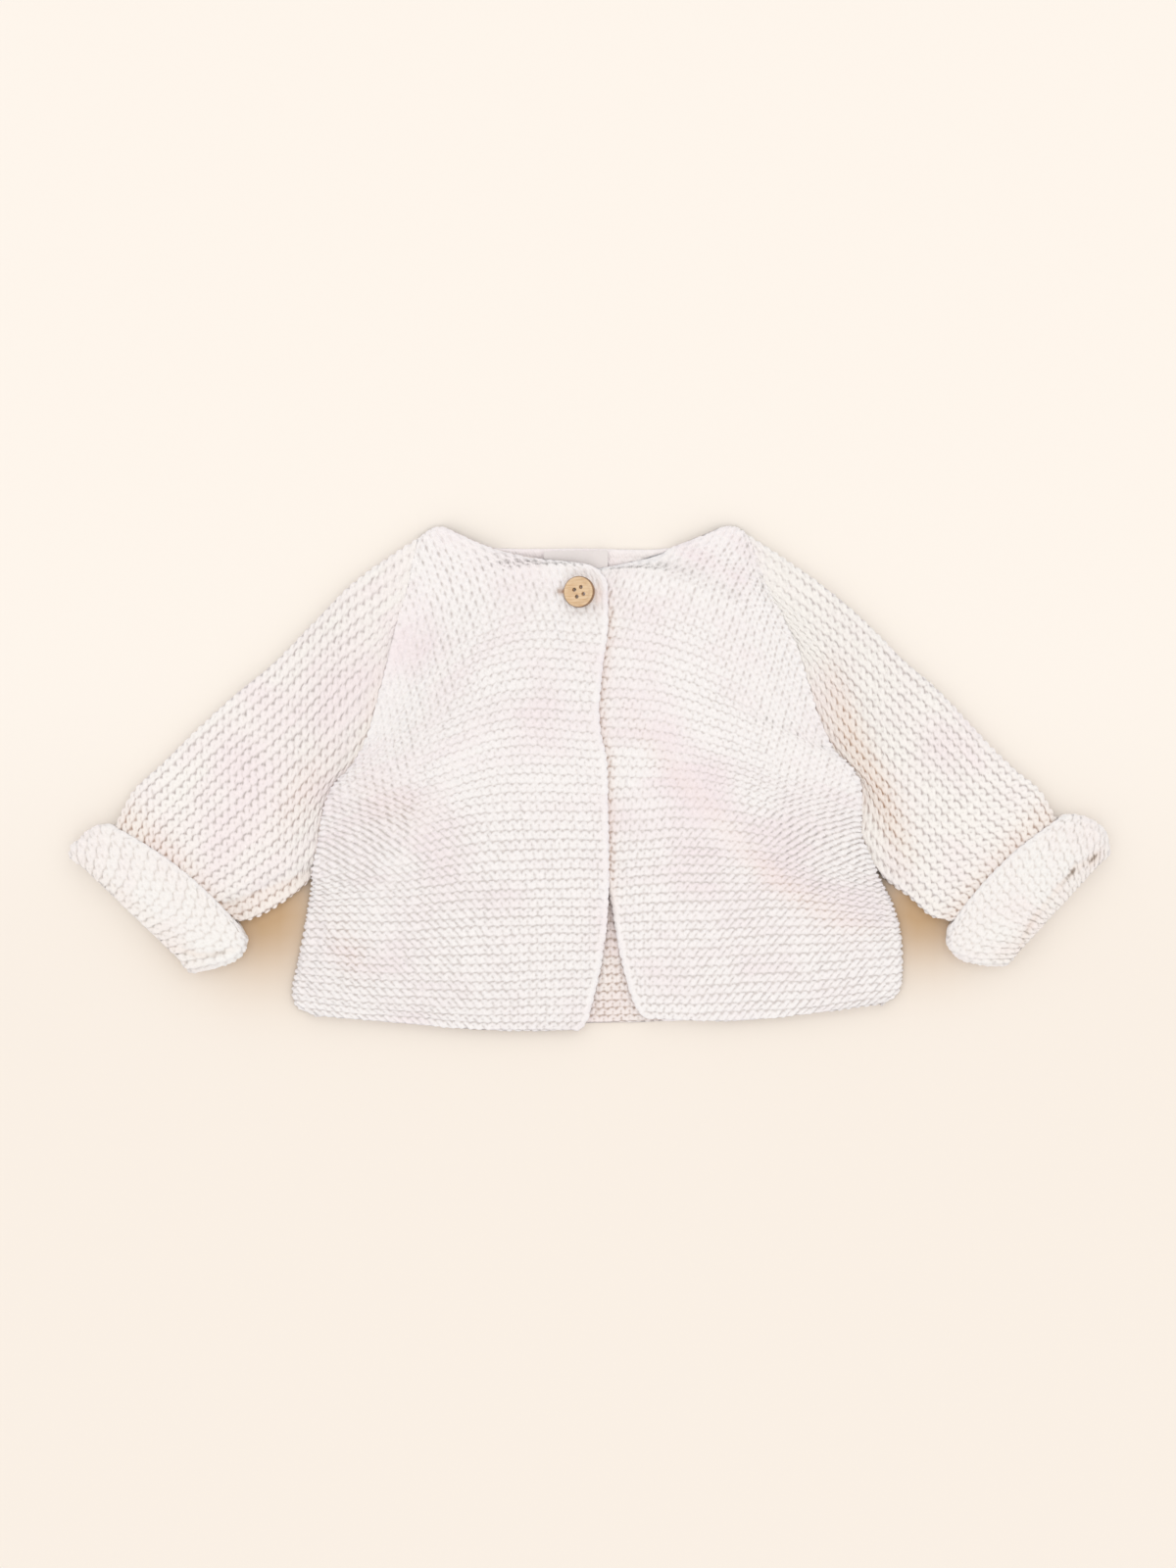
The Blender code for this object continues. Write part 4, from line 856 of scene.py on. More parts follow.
def meeting(armhole_line, ridges, w):
    """Way down the armhole of a sleeve's ridge."""
    down = w * SLEEVE_RIDGES
    above_arm = ridges - UNDERARM_RIDGE
    body = down + (above_arm - SLEEVE_RIDGES) * np.maximum((down - 7) / (SLEEVE_RIDGES - 7), 0) ** 2
    return np.interp(body / above_arm * (ARMHOLE_POINTS - 1), np.arange(ARMHOLE_POINTS), armhole_line[0])


def towards_arm(top, low, near_arm):
    """Unit vector up the arm, square to the line between a tube's two folds."""
    run = low - top
    arm = unit(np.array((run[1], -run[0])))
    return arm if arm @ (near_arm - top) > 0 else -arm


def span_of(table, station):
    """Distance between a tube's two folds."""
    return np.linalg.norm(np.diff(sections(table, station), axis=1)[:, 0], axis=1)[:, None]


def on_each(station, values):
    """The same places across at every station."""
    return np.tile(values, (len(station), 1))


# %% A sleeve
ARMHOLE_REACH = 4  # stations over which the ridges turn from the armhole's course to the table's
SLEEVE_LEDGE = 1.1  # how far the strip beyond the crease stands above the lower wall
SLEEVE_INSET = 2.6  # thickness of the folded cloth at a sleeve's two sides
SLEEVE_ROLL = 4.5  # radius of its upper fold
STRIP_ROLL = 2.0  # and of the lower one, where it ends in a flat strip
UNDER_ROLL = 2.5  # and of both below


def sleeve(name, table, folds, valleys, line, ridges, outward, lip, slants, strip_widths):
    """outward: 1 for the right sleeve, -1 for the left one. slants: how the small gaps between the loops
    lean at the body and at the cuff. strip_widths: how wide the flat strip beside the lower fold is there."""
    wrist, elbow = sections(table, [11, 9])
    arm = towards_arm(*wrist, elbow[0])
    chord = along_armhole(line, np.array((0.0, 1.0)))

    def laid(station, offset, way):
        """Places on the tube, as seen from above."""
        ends = sections(table, station)[:, None]
        bow = (np.maximum(1 - station / ARMHOLE_REACH, 0) ** 2)[:, None, None]
        at = way[..., None]
        straight = chord[0] + (chord[1] - chord[0]) * at
        first = sections(table, [0])[0]
        mend = straight - first[0] - (first[1] - first[0]) * at
        xy = ends[:, :, 0] + (ends[:, :, 1] - ends[:, :, 0]) * at
        xy = xy + bow * (along_armhole(line, way) - straight)
        xy = xy + mend * (1 - ease(station / 0.8))[:, None, None]
        run = along_armhole(line, np.minimum(way + 0.03, 1)) - along_armhole(line, np.maximum(way - 0.03, 0))
        side = unit(np.stack((run[..., 1], -run[..., 0]), axis=-1)) * outward
        under = offset[:, None] * (0.35 + 0.65 * ease((way - 0.4) / 0.1) * ease((0.97 - way) / 0.1))
        past = np.where(station > 0, offset, 0)[:, None] * ease(way / 0.12) * ease((1 - way) / 0.12)
        tucked = side * np.where(station > 0, 0, 1)[:, None, None] * under[..., None]
        return xy + tucked + arm * past[..., None]

    def heights(station, way, xy, press_in):
        """Height of the lower wall, the space above it, the upper wall's top and the height of the folds."""
        rest = np.where(station > 0, SLEEVE_GAP, LOW_GAP)[:, None]
        gap, press = lifted(rest, folds, xy[..., 0], xy[..., 1])
        under_cuff = ease((station - 7.95) / 0.8)[:, None]
        near_body = (1 - ease((station - 0.1) / 1.2))[:, None]
        flush = 1 - ease((way - 0.19) / 0.18)
        at_body = blend(LOW_GAP, REST_GAP + BACK_WALL - WALL, flush)
        gap = blend(blend(gap, WRIST_GAP, under_cuff), at_body, near_body)
        base = CUFF_LIFT * under_cuff
        top = base + WALL + gap + WALL + LEVEL + press * (1 - under_cuff) * (1 - near_body) * press_in
        return base, gap, top, base + (WALL + gap + WALL) * 0.45

    tuck = np.array((-4.0, -3.0, -2.0, -1.3, -0.8, -0.4, -0.15))
    beside_body, along_arm = np.linspace(0, 1.2, 40)[:-1], np.linspace(1.2, 9.1, SLEEVE_COLUMNS)
    fine = np.concatenate((beside_body, along_arm, (9.5, 10, 11)))
    station = np.concatenate((np.zeros(len(tuck)), fine))
    offset = np.concatenate((tuck, np.zeros(len(fine) - 1), (lip + 1.0,)))
    w = on_each(station, dense_ends(int(SLEEVE_RIDGES * 7.2), (0.0, 0.003, 0.008, 0.015)))
    way = blend(w, meeting(line, ridges, w), (np.maximum(1 - station / ARMHOLE_REACH, 0) ** 2)[:, None])
    xy = laid(station, offset, way)
    base, _, top, low = heights(station, way, xy, 1)
    flush = 1 - ease((way - 0.25) / 0.12)
    top = top - 0.7 * flush * ease(-offset / 1.5)[:, None]
    span = span_of(table, station)
    strip = np.interp(np.maximum(station, 0), (0, 8), strip_widths)[:, None]
    to_fold = (1 - way) * span
    top = rounded(base + WALL + SLEEVE_LEDGE, top, to_fold - strip, 3.0)
    fold_radius = np.where((strip > 0) & (way > 0.5), STRIP_ROLL, SLEEVE_ROLL)
    over = np.dstack((xy, rounded(low, top, np.minimum(way * span, to_fold), fold_radius)))
    stitch = stitch_numbers(np.swapaxes(xy, 0, 1), SLEEVE_STITCH).T
    amount = (1 - 0.6 * ease((station[:, None] - 8.9) / 0.3)) * ease((offset[:, None] + 2.2) / 1.0)
    ridge = ridges - w * SLEEVE_RIDGES

    # the lower side, from the lower fold back to the upper one
    w_low = on_each(station, (0.988, 0.96, *(i / 12 for i in range(11, 0, -1)), 0.04, 0.012))
    xy_low = laid(station, np.where(station > 0, 0, np.maximum(offset, 0)), w_low)
    base, _, _, low = heights(station, w_low, xy_low, 0)
    under = np.dstack((xy_low, rounded(low, base, np.minimum(w_low, 1 - w_low) * span, UNDER_ROLL)))
    looks = {"slant": blend(*slants, ease(station / 8)[:, None]), "open_knit": 0.62}
    skin, counts, height = knitted_tube(over, under, stitch, ridge, amount + 0 * w, SLEEVE_ARCH, **looks)

    # the lining, from the mouth under the front to the wrist
    inner_station = np.array((0, 0, 0.8, 1.6, 2.6, 4, 5.5, 7, 8.1, 9, 10, 11.0))
    inner_offset = np.array((-4, 0, 0, 0, 0, 0, 0, 0, 0, 0, 0, lip + 1.0))
    steps = np.array((0.0, 0.04, *(i / 10 for i in range(1, 10)), 0.96, 1.0))
    span = span_of(table, inner_station)
    inset = SLEEVE_INSET / span
    low_strip = np.maximum(np.interp(inner_station, (0, 8), strip_widths), 0)[:, None]
    v = inset + (1 - inset - (SLEEVE_INSET + low_strip) / span) * steps
    inner_xy = laid(inner_station, inner_offset, v)
    base, gap, _, _ = heights(inner_station, v, inner_xy, 0)
    ceiling = base + WALL + gap * (0.5 + 0.5 * bulge(np.minimum(steps, 1 - steps) * span, 4.0))
    roof = np.dstack((inner_xy, ceiling))
    v = v[:, -2:0:-1]
    inner_xy = laid(inner_station, np.where(inner_station > 0, 0, np.maximum(inner_offset, 0)), v)
    base = heights(inner_station, v, inner_xy, 0)[0]
    lining = np.concatenate((roof, np.dstack((inner_xy, base + WALL + np.zeros(v.shape)))), axis=1)
    faces = tube_rims(skin, np.concatenate((way, 2 - w_low), axis=1) / 2, lining, steps)

    # the marks: painted shade beside the front, the cuff and the crease, and in the valleys between folds;
    # furrows painted lighter near the body
    from_body = np.where(station > 0, station * STATION_NEAR_BODY, 0)[:, None]
    furrows_lighter_near_body = 0.35 * fading(from_body, 22) * ease((0.6 - way) / 0.3)
    beside_front = 0.4 * fading(from_body, 9) * ease((way - 0.3) / 0.2)
    beside_cuff = 0.65 * fading((station - 8.7)[:, None] * STATION_NEAR_CUFF, 6)
    below_crease = 0.5 * ease((strip + 1.5 - to_fold) / 2)
    x, y = xy[..., 0], xy[..., 1]
    painted_shade = np.clip(beside_front + beside_cuff + fold_height(valleys, x, y) + below_crease, 0, 1)
    marks = {
        "yarn_height": over_plain(furrows_lightened(height, furrows_lighter_near_body), under, 1),
        "rose_and_painted_shade": over_plain(fold_height(ROSE_AND_PAINTED_SHADE, x, y), under, 0.5),
        "painted_shade": over_plain(painted_shade, under, 0.3),
    }
    return wall(name, skin, counts, marks, lining, faces, closed=True)


SLEEVE_COLUMNS = 285
STATION_NEAR_BODY = 20  # distance between two stations of the tables
STATION_NEAR_CUFF = 11
# start, middle and end of a valley, half width, depth of its shade
VALLEYS_RIGHT = (((-120, 12), (-132, -6), (-140, -25), 9, 0.35),)
VALLEYS_LEFT = (
    ((112, 50), (121, 20), (133, 0), 7.5, 1.0),
    ((127, 5), (137, -12), (146, -36), 7.5, 0.9),
)
armhole_right = armhole(FRONT_RIGHT, NECK_RIDGES_RIGHT, 0)
armhole_left = armhole(FRONT_LEFT, NECK_RIDGES_LEFT, -1)
sleeve_right = sleeve(
    "sleeve_right_knit", SLEEVE_RIGHT, SLEEVE_RIGHT_FOLDS, VALLEYS_RIGHT, armhole_right, NECK_RIDGES_RIGHT,
    1, LIP_RIGHT, (0.3, 0.7), (7.4, 11.8),
)
sleeve_left = sleeve(
    "sleeve_left_knit", SLEEVE_LEFT, SLEEVE_LEFT_FOLDS, VALLEYS_LEFT, armhole_left, NECK_RIDGES_LEFT,
    -1, LIP_LEFT, (0.3, -0.7), (-4.0, -4.0),
)

# %% [markdown]
# ## The cuffs
#
# The sleeve's end is turned back over itself, so a cuff is two layers of cloth round the end of the sleeve.
# Its free edge lies on the sleeve, and at the wrist it rolls in. The ridges cross the band, because it is
# the sleeve's own cloth, seen from its other face, which in garter stitch looks the same. They fan out
# towards the free edge and are twisted a little, each cuff in its own way, and both edges are scalloped by
# their beads. Where the band is pressed, or the cloth inside it ends, narrow grooves run across it.

# %% A cuff
ON_SLEEVE = 0.35  # air between the sleeve and the band that lies on it
CUFF_MIDDLE = 5.2  # height at which its upper and lower sides meet
SCALLOP = 0.7
STATION_ON_CUFF = 7  # distance between two stations of its tables
END_ROLL = 6.0  # radius of its two folds, in the tables' plane
WRIST_ROLL = 5.0
# grooves deeper than this are painted shade instead
DEEPEST_GROOVE = 1.5  # what would go deeper only turns darker


def cuff(name, table, folds, grooves, ridges, lip, twist):
    """twist: how far the ridges turn aside towards the wrist at both ends, as a share of the band."""
    last, first_row = sections(table, [3, 0])
    arm = towards_arm(*last, first_row[0])
    roof = CUFF_LIFT + WALL + WRIST_GAP + WALL + ON_SLEEVE

    def laid(station, w, along):
        """Places on the cuff, as seen from above."""
        ends = sections(table, station)[:, None]
        run = ends[:, :, 1] - ends[:, :, 0]
        drawn_in = CORNER * (1 - np.sqrt(1 - np.maximum(station - 2, 0) ** 2))[:, None]
        drawn_in = drawn_in + 2.5 * (1 - np.sqrt(1 - np.maximum(1 - station / 0.5, 0) ** 2))[:, None]
        drawn_in = drawn_in / np.linalg.norm(run, axis=2)
        way = drawn_in + (1 - 2 * drawn_in) * w
        bowed = BOWED * ((1 - station / 3) ** 2)[:, None] * np.sin(np.pi * way)
        at_free_edge = (1 - ease(station / 0.35))[:, None]
        bowed = bowed + SCALLOP * beads((0.5 + (w - 0.5) * (1 - FAN)) * ridges) * at_free_edge
        return ends[:, :, 0] + run * way[..., None] + arm * (along + bowed)[..., None]

    def width_at(station):
        """Distance between the cuff's two folds."""
        ends = laid(station, np.repeat(((0.0, 1.0),), len(station), axis=0), np.zeros((len(station), 2)))
        return np.linalg.norm(ends[:, 1] - ends[:, 0], axis=1)[:, None]

    def lip_at(station, w):
        """How far the upper side reaches past the lower one."""
        return lip * ease((station - 1.5) / 1.5)[:, None] * ease(w / 0.12) * ease((1 - w) / 0.12)

    station = np.concatenate(((0, 0.02, 0.06, 0.12), np.linspace(0.2, 2.8, 46), (2.86, 2.92, 2.97, 3.0)))
    w = on_each(station, dense_ends(144, (0.0, 0.003, 0.009, 0.018)))
    turned = blend(*twist, w) * station[:, None] / 3
    ridge = -(0.5 + (w - 0.5) * (1 - FAN * (1 - station[:, None] / 3)) - turned) * ridges
    scallops = SCALLOP * beads(ridge) * ease((station - 2.7) / 0.3)[:, None]
    xy = laid(station, w, lip_at(station, w) - scallops)
    fold = fold_height(folds, xy[..., 0], xy[..., 1])
    groove = fold_height(grooves, xy[..., 0], xy[..., 1])
    top = roof + WALL + LEVEL + fold - np.minimum(groove, DEEPEST_GROOVE)
    from_edge, from_wrist = station * STATION_ON_CUFF, (3 - station) * STATION_ON_CUFF
    top = rounded(roof + 0.3, top, from_edge[:, None], 1.8)
    to_end = np.minimum(w, 1 - w) * width_at(station)
    wrist = 0.35 + 0.65 * bulge(from_wrist + 1.2, WRIST_ROLL)[:, None]
    over = np.dstack((xy, blend(CUFF_MIDDLE, top, bulge(to_end + 0.05, END_ROLL) * wrist)))
    stitch = stitch_numbers(np.swapaxes(xy, 0, 1), SLEEVE_STITCH).T
    amount = ease(from_edge)[:, None] + 0 * w

    w_low = on_each(station, (0.992, 0.97, 0.9, 0.65, 0.35, 0.1, 0.03, 0.008))
    to_end = np.minimum(w_low, 1 - w_low) * width_at(station)
    press = bulge(to_end, 3.5) * bulge(from_wrist + 0.8, 3.0)[:, None]
    under = np.dstack((laid(station, w_low, 0 * w_low), CUFF_MIDDLE * (1 - press) * 0.96))
    skin, counts, height = knitted_tube(over, under, stitch, ridge, amount, BODY_ARCH)

    # the lining: along the band on the sleeve, then round its end and in at the wrist
    steps = np.array((0.0, 0.01, 0.03, 0.08, 0.25, 0.5, 0.75, 0.92, 0.97, 0.99, 1.0))
    rings = []
    mouth = CUFF_LIFT + WALL
    on_sleeve = [(row, 2.5, WALL, roof, along) for row, along in enumerate((0.0, 0.0, 0.0, 2.2))]
    rolled_in = [(3, 4.5, mouth, mouth + WRIST_GAP, along) for along in (2.2, 0.6)]
    for at, inset, floor, ceiling, along in on_sleeve + rolled_in:
        here = np.array((float(at),))
        span = width_at(here)
        v = inset / span + (1 - 2 * inset / span) * steps
        round_ends = bulge(np.minimum(steps, 1 - steps) * span + 0.1, 3.0)
        half = (ceiling - floor) / 2
        upper = np.dstack((laid(here, v, along + lip_at(here, v)), floor + half + half * round_ends))
        lower = np.dstack((laid(here, v, along + 0 * v), floor + half - half * round_ends))
        rings.append(np.concatenate((upper, lower[:, -2:0:-1]), axis=1)[0])
    lining = np.array(rings)
    faces = tube_rims(skin, np.concatenate((w, 2 - w_low), axis=1) / 2, lining, steps)

    # the marks: painted shade in the grooves and where the band rolls in at the wrist, and furrows a little
    # lighter
    at_wrist = 0.3 * ease((station - 2.35) / 0.4)[:, None]
    height = furrows_lightened(height, 0.2) - 0.3 * np.maximum(groove - DEEPEST_GROOVE, 0)
    marks = {
        "yarn_height": over_plain(height, under, 1),
        "rose_and_painted_shade": over_plain(0.3 + 0 * w, under, 0.3),
        "painted_shade": over_plain(np.clip(0.25 * groove + at_wrist, 0, 1), under, 0.2),
    }
    return wall(name, skin, counts, marks, lining, faces, closed=True)


# start, middle and end of a groove, half width, depth
GROOVES_RIGHT = (
    ((-241, -39), (-214, -64), (-190, -78), 1.3, 1.3),
    ((-190, -77), (-176, -80.5), (-161, -77), 1.3, 1.6),
)
GROOVES_LEFT = (
    ((236, -33), (223, -43), (210, -58), 1.3, 1.9),
    ((210, -58), (203, -68), (198, -81), 1.3, 1.6),
    ((234.8, -33.5), (233.2, -36.5), (231, -39.5), 1.5, 2.6),  # the mouth, where the sleeve's end rolls in
    ((225, -38), (223.6, -41), (222.4, -45), 0.9, 2.0),
)
cuff_right = cuff(
    "cuff_right_knit", CUFF_RIGHT, CUFF_RIGHT_FOLDS, GROOVES_RIGHT, CUFF_RIDGES_RIGHT, LIP_RIGHT, (0.02, 0.13)
)
cuff_left = cuff(
    "cuff_left_knit", CUFF_LEFT, CUFF_LEFT_FOLDS, GROOVES_LEFT, CUFF_RIDGES_LEFT, CUFF_LIP_LEFT, (0.12, 0.02)
)

# %% [markdown]
# ## Materials
#
# One function adds a node with its settings and its links and hands back its main output, and everything
# else is built from it. Colours are given as they look on a screen and turned into linear light once.

# %% Nodes and colours
MAIN_OUTPUT = {"TexCoord": "Object", "Attribute": "Fac", "TexWave": "Fac", "Mix": "Result"}


def add(tree, kind, inputs=None, **settings):
    """Adds a shader node with its settings, and with its inputs as values or links."""
    node = tree.nodes.new("ShaderNode" + kind)
    for key, value in settings.items():
        setattr(node, key, value)
    for socket, value in (inputs or {}).items():
        if isinstance(value, bpy.types.NodeSocket):
            tree.links.new(value, node.inputs[socket])
        else:
            node.inputs[socket].default_value = value
    return node.outputs[MAIN_OUTPUT.get(kind, 0)]


def mixed(tree, factor, a, b):
    """A colour between two others."""
    return add(tree, "Mix", {"Factor": factor, "A": a, "B": b}, data_type="RGBA")


def ramp(tree, value, low, high):
    """0 below low, 1 above high, and an S between them."""
    limits = {"Value": value, "From Min": low, "From Max": high}
    return add(tree, "MapRange", limits, interpolation_type="SMOOTHSTEP")


def noise(tree, place, scale, detail=2.0, **more):
    """Soft random values about 0.5."""
    return add(tree, "TexNoise", {"Vector": place, "Scale": scale, "Detail": detail, **more})


def bump(tree, height, strength, distance, **more):
    """Small relief: normals that lean as if the height were there, in millimetres."""
    return add(tree, "Bump", {"Height": height, "Strength": strength, "Distance": distance * MM, **more})


def linear(colour):
    """sRGB hex to linear RGBA."""
    parts = [int(colour[i : i + 2], 16) / 255 for i in (1, 3, 5)]
    return [c / 12.92 if c <= 0.04045 else ((c + 0.055) / 1.055) ** 2.4 for c in parts] + [1.0]


def material(name, **shader_values):
    """A new material, its nodes and its shader, with values set on the shader itself."""
    made = bpy.data.materials.new(name)
    made.use_nodes = True
    tree = made.node_tree
    shader = tree.nodes["Principled BSDF"]
    for socket, value in shader_values.items():
        shader.inputs[socket.replace("_", " ")].default_value = value
    return made, tree, shader


# %% [markdown]
# ### Cotton yarn
#
# The yarn is matt, with a little fuzz that catches light at grazing angles, which is what sheen is for. It
# is spun from ecru and pale rose fibres, so the cloth is mottled in soft patches. Where the rose ones lie
# is marked on the points, and noise frays them ridge by ridge, because the colour changes along the
# yarn; along the troughs of folds the same rose marks are painted shade. Light that reaches the bottom of
# a furrow or the inside of a crease has bounced from warm cloth before, so there the colour is painted
# shade, grey or tan. The plies wind round each strand: a slanting ripple, one turn in about 1.6 mm.

# %% Knitted cotton
PATCH = 34  # mm across a soft patch of colour
FIBRE = 1.3
FUZZ = 0.5
PLY = 1.6  # mm along the yarn for one turn of its plies


def knitted_cotton(name, ecru, rose_and_painted_shade, shade_in_furrows, shade_in_creases):
    """Yarn of two colours, rose also standing for shade along folds, and two painted shades in its depth."""
    matt = {"Sheen_Weight": 0.2, "Sheen_Roughness": 0.6, "Specular_IOR_Level": 0.2}
    made, tree, shader = material(name, Roughness=0.92, **matt)
    place = add(tree, "TexCoord")
    count = add(tree, "UVMap", uv_map="stitches")
    stitch = add(tree, "SeparateXYZ", {"Vector": count})
    row = add(tree, "Math", {0: stitch.node.outputs["Y"]}, operation="FLOOR")
    along = add(tree, "CombineXYZ", {"X": stitch, "Y": row})

    # rose fibres, and along folds painted shade: marked, frayed row by row, and uneven in soft patches
    by_row = add(tree, "Mapping", {"Vector": along, "Scale": (1 / 7, 1 / 3.2, 1)})
    frayed = noise(tree, by_row, 1.0)
    patches = noise(tree, place, 1000 / PATCH, 1.0)
    mark = add(tree, "Attribute", attribute_name="rose_and_painted_shade")
    both = add(tree, "Math", {0: frayed, 1: patches}, operation="ADD")
    most = add(tree, "Math", {0: mark, 1: 0.45, 2: both}, operation="MULTIPLY_ADD")
    tint = mixed(tree, ramp(tree, most, 0.85, 1.65), linear(ecru), linear(rose_and_painted_shade))
    fibres = noise(tree, place, 1000 / FIBRE, 3.0)
    light_and_dark = {"Value": fibres, "From Min": 0.3, "From Max": 0.7, "To Min": 0.96, "To Max": 1.02}
    speckle = add(tree, "MapRange", light_and_dark)
    flecked = add(tree, "VectorMath", {0: tint, "Scale": speckle}, operation="SCALE")

    # painted shade in the depth: grey in furrows, tan in creases and beside other pieces
    height = add(tree, "Attribute", attribute_name="yarn_height")
    depth = ramp(tree, height, 0.05, 0.72)
    painted_shade = add(tree, "Attribute", attribute_name="painted_shade")
    bottom = mixed(tree, painted_shade, linear(shade_in_furrows), linear(shade_in_creases))
    # painted shade also tints the raised yarn a little tan
    less = add(tree, "Math", {0: painted_shade, 1: 0.38}, operation="MULTIPLY")
    raised = mixed(tree, less, flecked, linear("#e6d0c2"))
    shaded = mixed(tree, depth, bottom, raised)
    tree.links.new(shaded, shader.inputs["Base Color"])

    # plies and fuzz
    sized = add(tree, "Mapping", {"Vector": count, "Scale": (BODY_STITCH / PLY, RIDGE_PITCH / 2.6, 1)})
    winding = {"Vector": sized, "Scale": 1 / math.sqrt(2), "Distortion": 0.6}
    plies = add(tree, "TexWave", winding, bands_direction="DIAGONAL")
    fuzz = noise(tree, place, 1000 / FUZZ)
    ripple = bump(tree, plies, 0.3, 0.3)
    soft = bump(tree, fuzz, 0.3, 0.3, Normal=ripple)
    tree.links.new(soft, shader.inputs["Normal"])
    return made


# finish, ecru fibres, rose fibres that are also fold shade, painted shade of a furrow and of a crease, pieces
YARNS = (
    ("body", "#eeecec", "#ebe2e5", "#d5d0cf", "#b08e76", (back_knit, front_right, front_left)),
    ("sleeves", "#efedea", "#ede4e6", "#c6bfbe", "#b08e76", (sleeve_right, sleeve_left)),
    ("cuffs", "#edecea", "#ede6e5", "#ddd8d5", "#8f8073", (cuff_right, cuff_left)),
)
for finish, *colours, pieces in YARNS:
    cotton = knitted_cotton("Mottled_cotton_yarn_" + finish, *colours)
    for piece in pieces:
        piece.data.materials.append(cotton)
    print(cotton.name, "on", [piece.name for piece in pieces])

# %% [markdown]
# ## The label
#
# A short satin ribbon is sewn inside the back neck. It is bare. A plane is cut into a grid, given the slight
# sag of ribbon that lies on knobbly cloth, and thickened with Solidify.

# %% The neck label
LABEL = (-20.5, 9.1, 98.0, 106.4)  # left, right, lower and upper edge
LABEL_THICKNESS = 0.45
LABEL_TOP = BACK_WALL + 0.75

bpy.ops.object.select_all(action="DESELECT")
bpy.ops.mesh.primitive_grid_add(x_subdivisions=60, y_subdivisions=16, size=1)
label = bpy.context.object
label.name = label.data.name = "neck_label_ribbon"
for vertex in label.data.vertices:
    u, v = vertex.co.x + 0.5, vertex.co.y + 0.5
    x = LABEL[0] + (LABEL[1] - LABEL[0]) * u
    y = LABEL[2] + (LABEL[3] - LABEL[2]) * v - 0.5 * (1 - u) * v
    sag = 0.12 * math.sin(9 * u) + 0.08 * math.sin(23 * u + 2) - 0.35 * (1 - v)
    vertex.co = (Vector((x, y, LABEL_TOP + sag)) - Vector(ORIGIN)) * MM
thick = label.modifiers.new("ribbon", "SOLIDIFY")
thick.thickness = LABEL_THICKNESS * MM
thick.offset = -1
bpy.ops.object.modifier_apply(modifier="ribbon")
label.data.shade_smooth()
bpy.ops.object.shade_smooth_by_angle(angle=math.radians(40))
print("label:", [round(1000 * d, 1) for d in label.dimensions], "mm")

# %% [markdown]
# ### Woven satin
#
# Satin floats its threads in one direction, so it has a soft sheen and faint lines along the ribbon.

# %% Ribbon
sheen = {"Sheen_Weight": 0.2, "Specular_IOR_Level": 0.5, "Anisotropic": 0.4}
satin, tree, shader = material("Grey_woven_satin_ribbon", Roughness=0.45, **sheen)
threads = add(tree, "Mapping", {"Vector": add(tree, "TexCoord"), "Scale": (1000 / 2.5, 1000 / 0.22, 1)})
weave = noise(tree, threads, 1.0)
tree.links.new(mixed(tree, weave, linear("#d8d2d2"), linear("#e2dedd")), shader.inputs["Base Color"])
tree.links.new(bump(tree, weave, 0.25, 0.1), shader.inputs["Normal"])
label.data.materials.append(satin)
print("label's finish:", satin.name)

# %% [markdown]
# ## The button
#
# It was turned from light wood: a disc with a raised rim round a dished face, then drilled four times. Here
# a cylinder is inset and pushed down in edit mode, its edges are rounded with Bevel, and four drills are
# taken out of it.

# %% The button
BUTTON_RADIUS = 7.2
BUTTON_THICKNESS = 3.0
BUTTON_CENTRE = (-3.6, 86.6, 10.2)
BUTTON_TILT = 17  # degrees, raised on the side of the front edge
BUTTON_RIM = 1.5  # width of the raised rim
BUTTON_DISH = 0.75  # depth of the dished face
BUTTON_ROUNDING = 0.55
BUTTON_EDGE = 0.6  # width of the dark outer edge
HOLE_RADIUS = 0.95
HOLE_OFFSET = 2.4
HOLES_FROM = 66  # degrees from X to the first hole


def only(faces_wanted, mesh):
    """Selects the faces that a test wants, in edit mode."""
    bm = bmesh.from_edit_mesh(mesh)
    for face in bm.faces:
        face.select_set(bool(faces_wanted(face)))
    bmesh.update_edit_mesh(mesh)


bpy.ops.object.select_all(action="DESELECT")
bpy.ops.mesh.primitive_cylinder_add(
    vertices=64, radius=BUTTON_RADIUS * MM, depth=BUTTON_THICKNESS * MM,
    location=(0, 0, BUTTON_THICKNESS / 2 * MM),
)
button = bpy.context.object
button.name = button.data.name = "button_turned"
bpy.ops.object.transform_apply(location=True, rotation=False, scale=False)
bpy.ops.object.mode_set(mode="EDIT")
only(lambda face: face.normal.z > 0.9, button.data)
bpy.ops.mesh.inset(thickness=BUTTON_RIM * MM)
bpy.ops.mesh.inset(thickness=0.9 * MM)
bpy.ops.transform.translate(value=(0, 0, -BUTTON_DISH * MM))
bpy.ops.mesh.inset(thickness=1.2 * MM)
only(lambda face: face.normal.z < -0.9, button.data)
bpy.ops.mesh.inset(thickness=0.8 * MM)
bpy.ops.transform.translate(value=(0, 0, -0.25 * MM))
bpy.ops.object.mode_set(mode="OBJECT")
soft_edges = button.modifiers.new("rounded", "BEVEL")
soft_edges.width, soft_edges.segments, soft_edges.limit_method = BUTTON_ROUNDING * MM, 4, "ANGLE"
soft_edges.angle_limit = math.radians(25)
bpy.ops.object.modifier_apply(modifier="rounded")

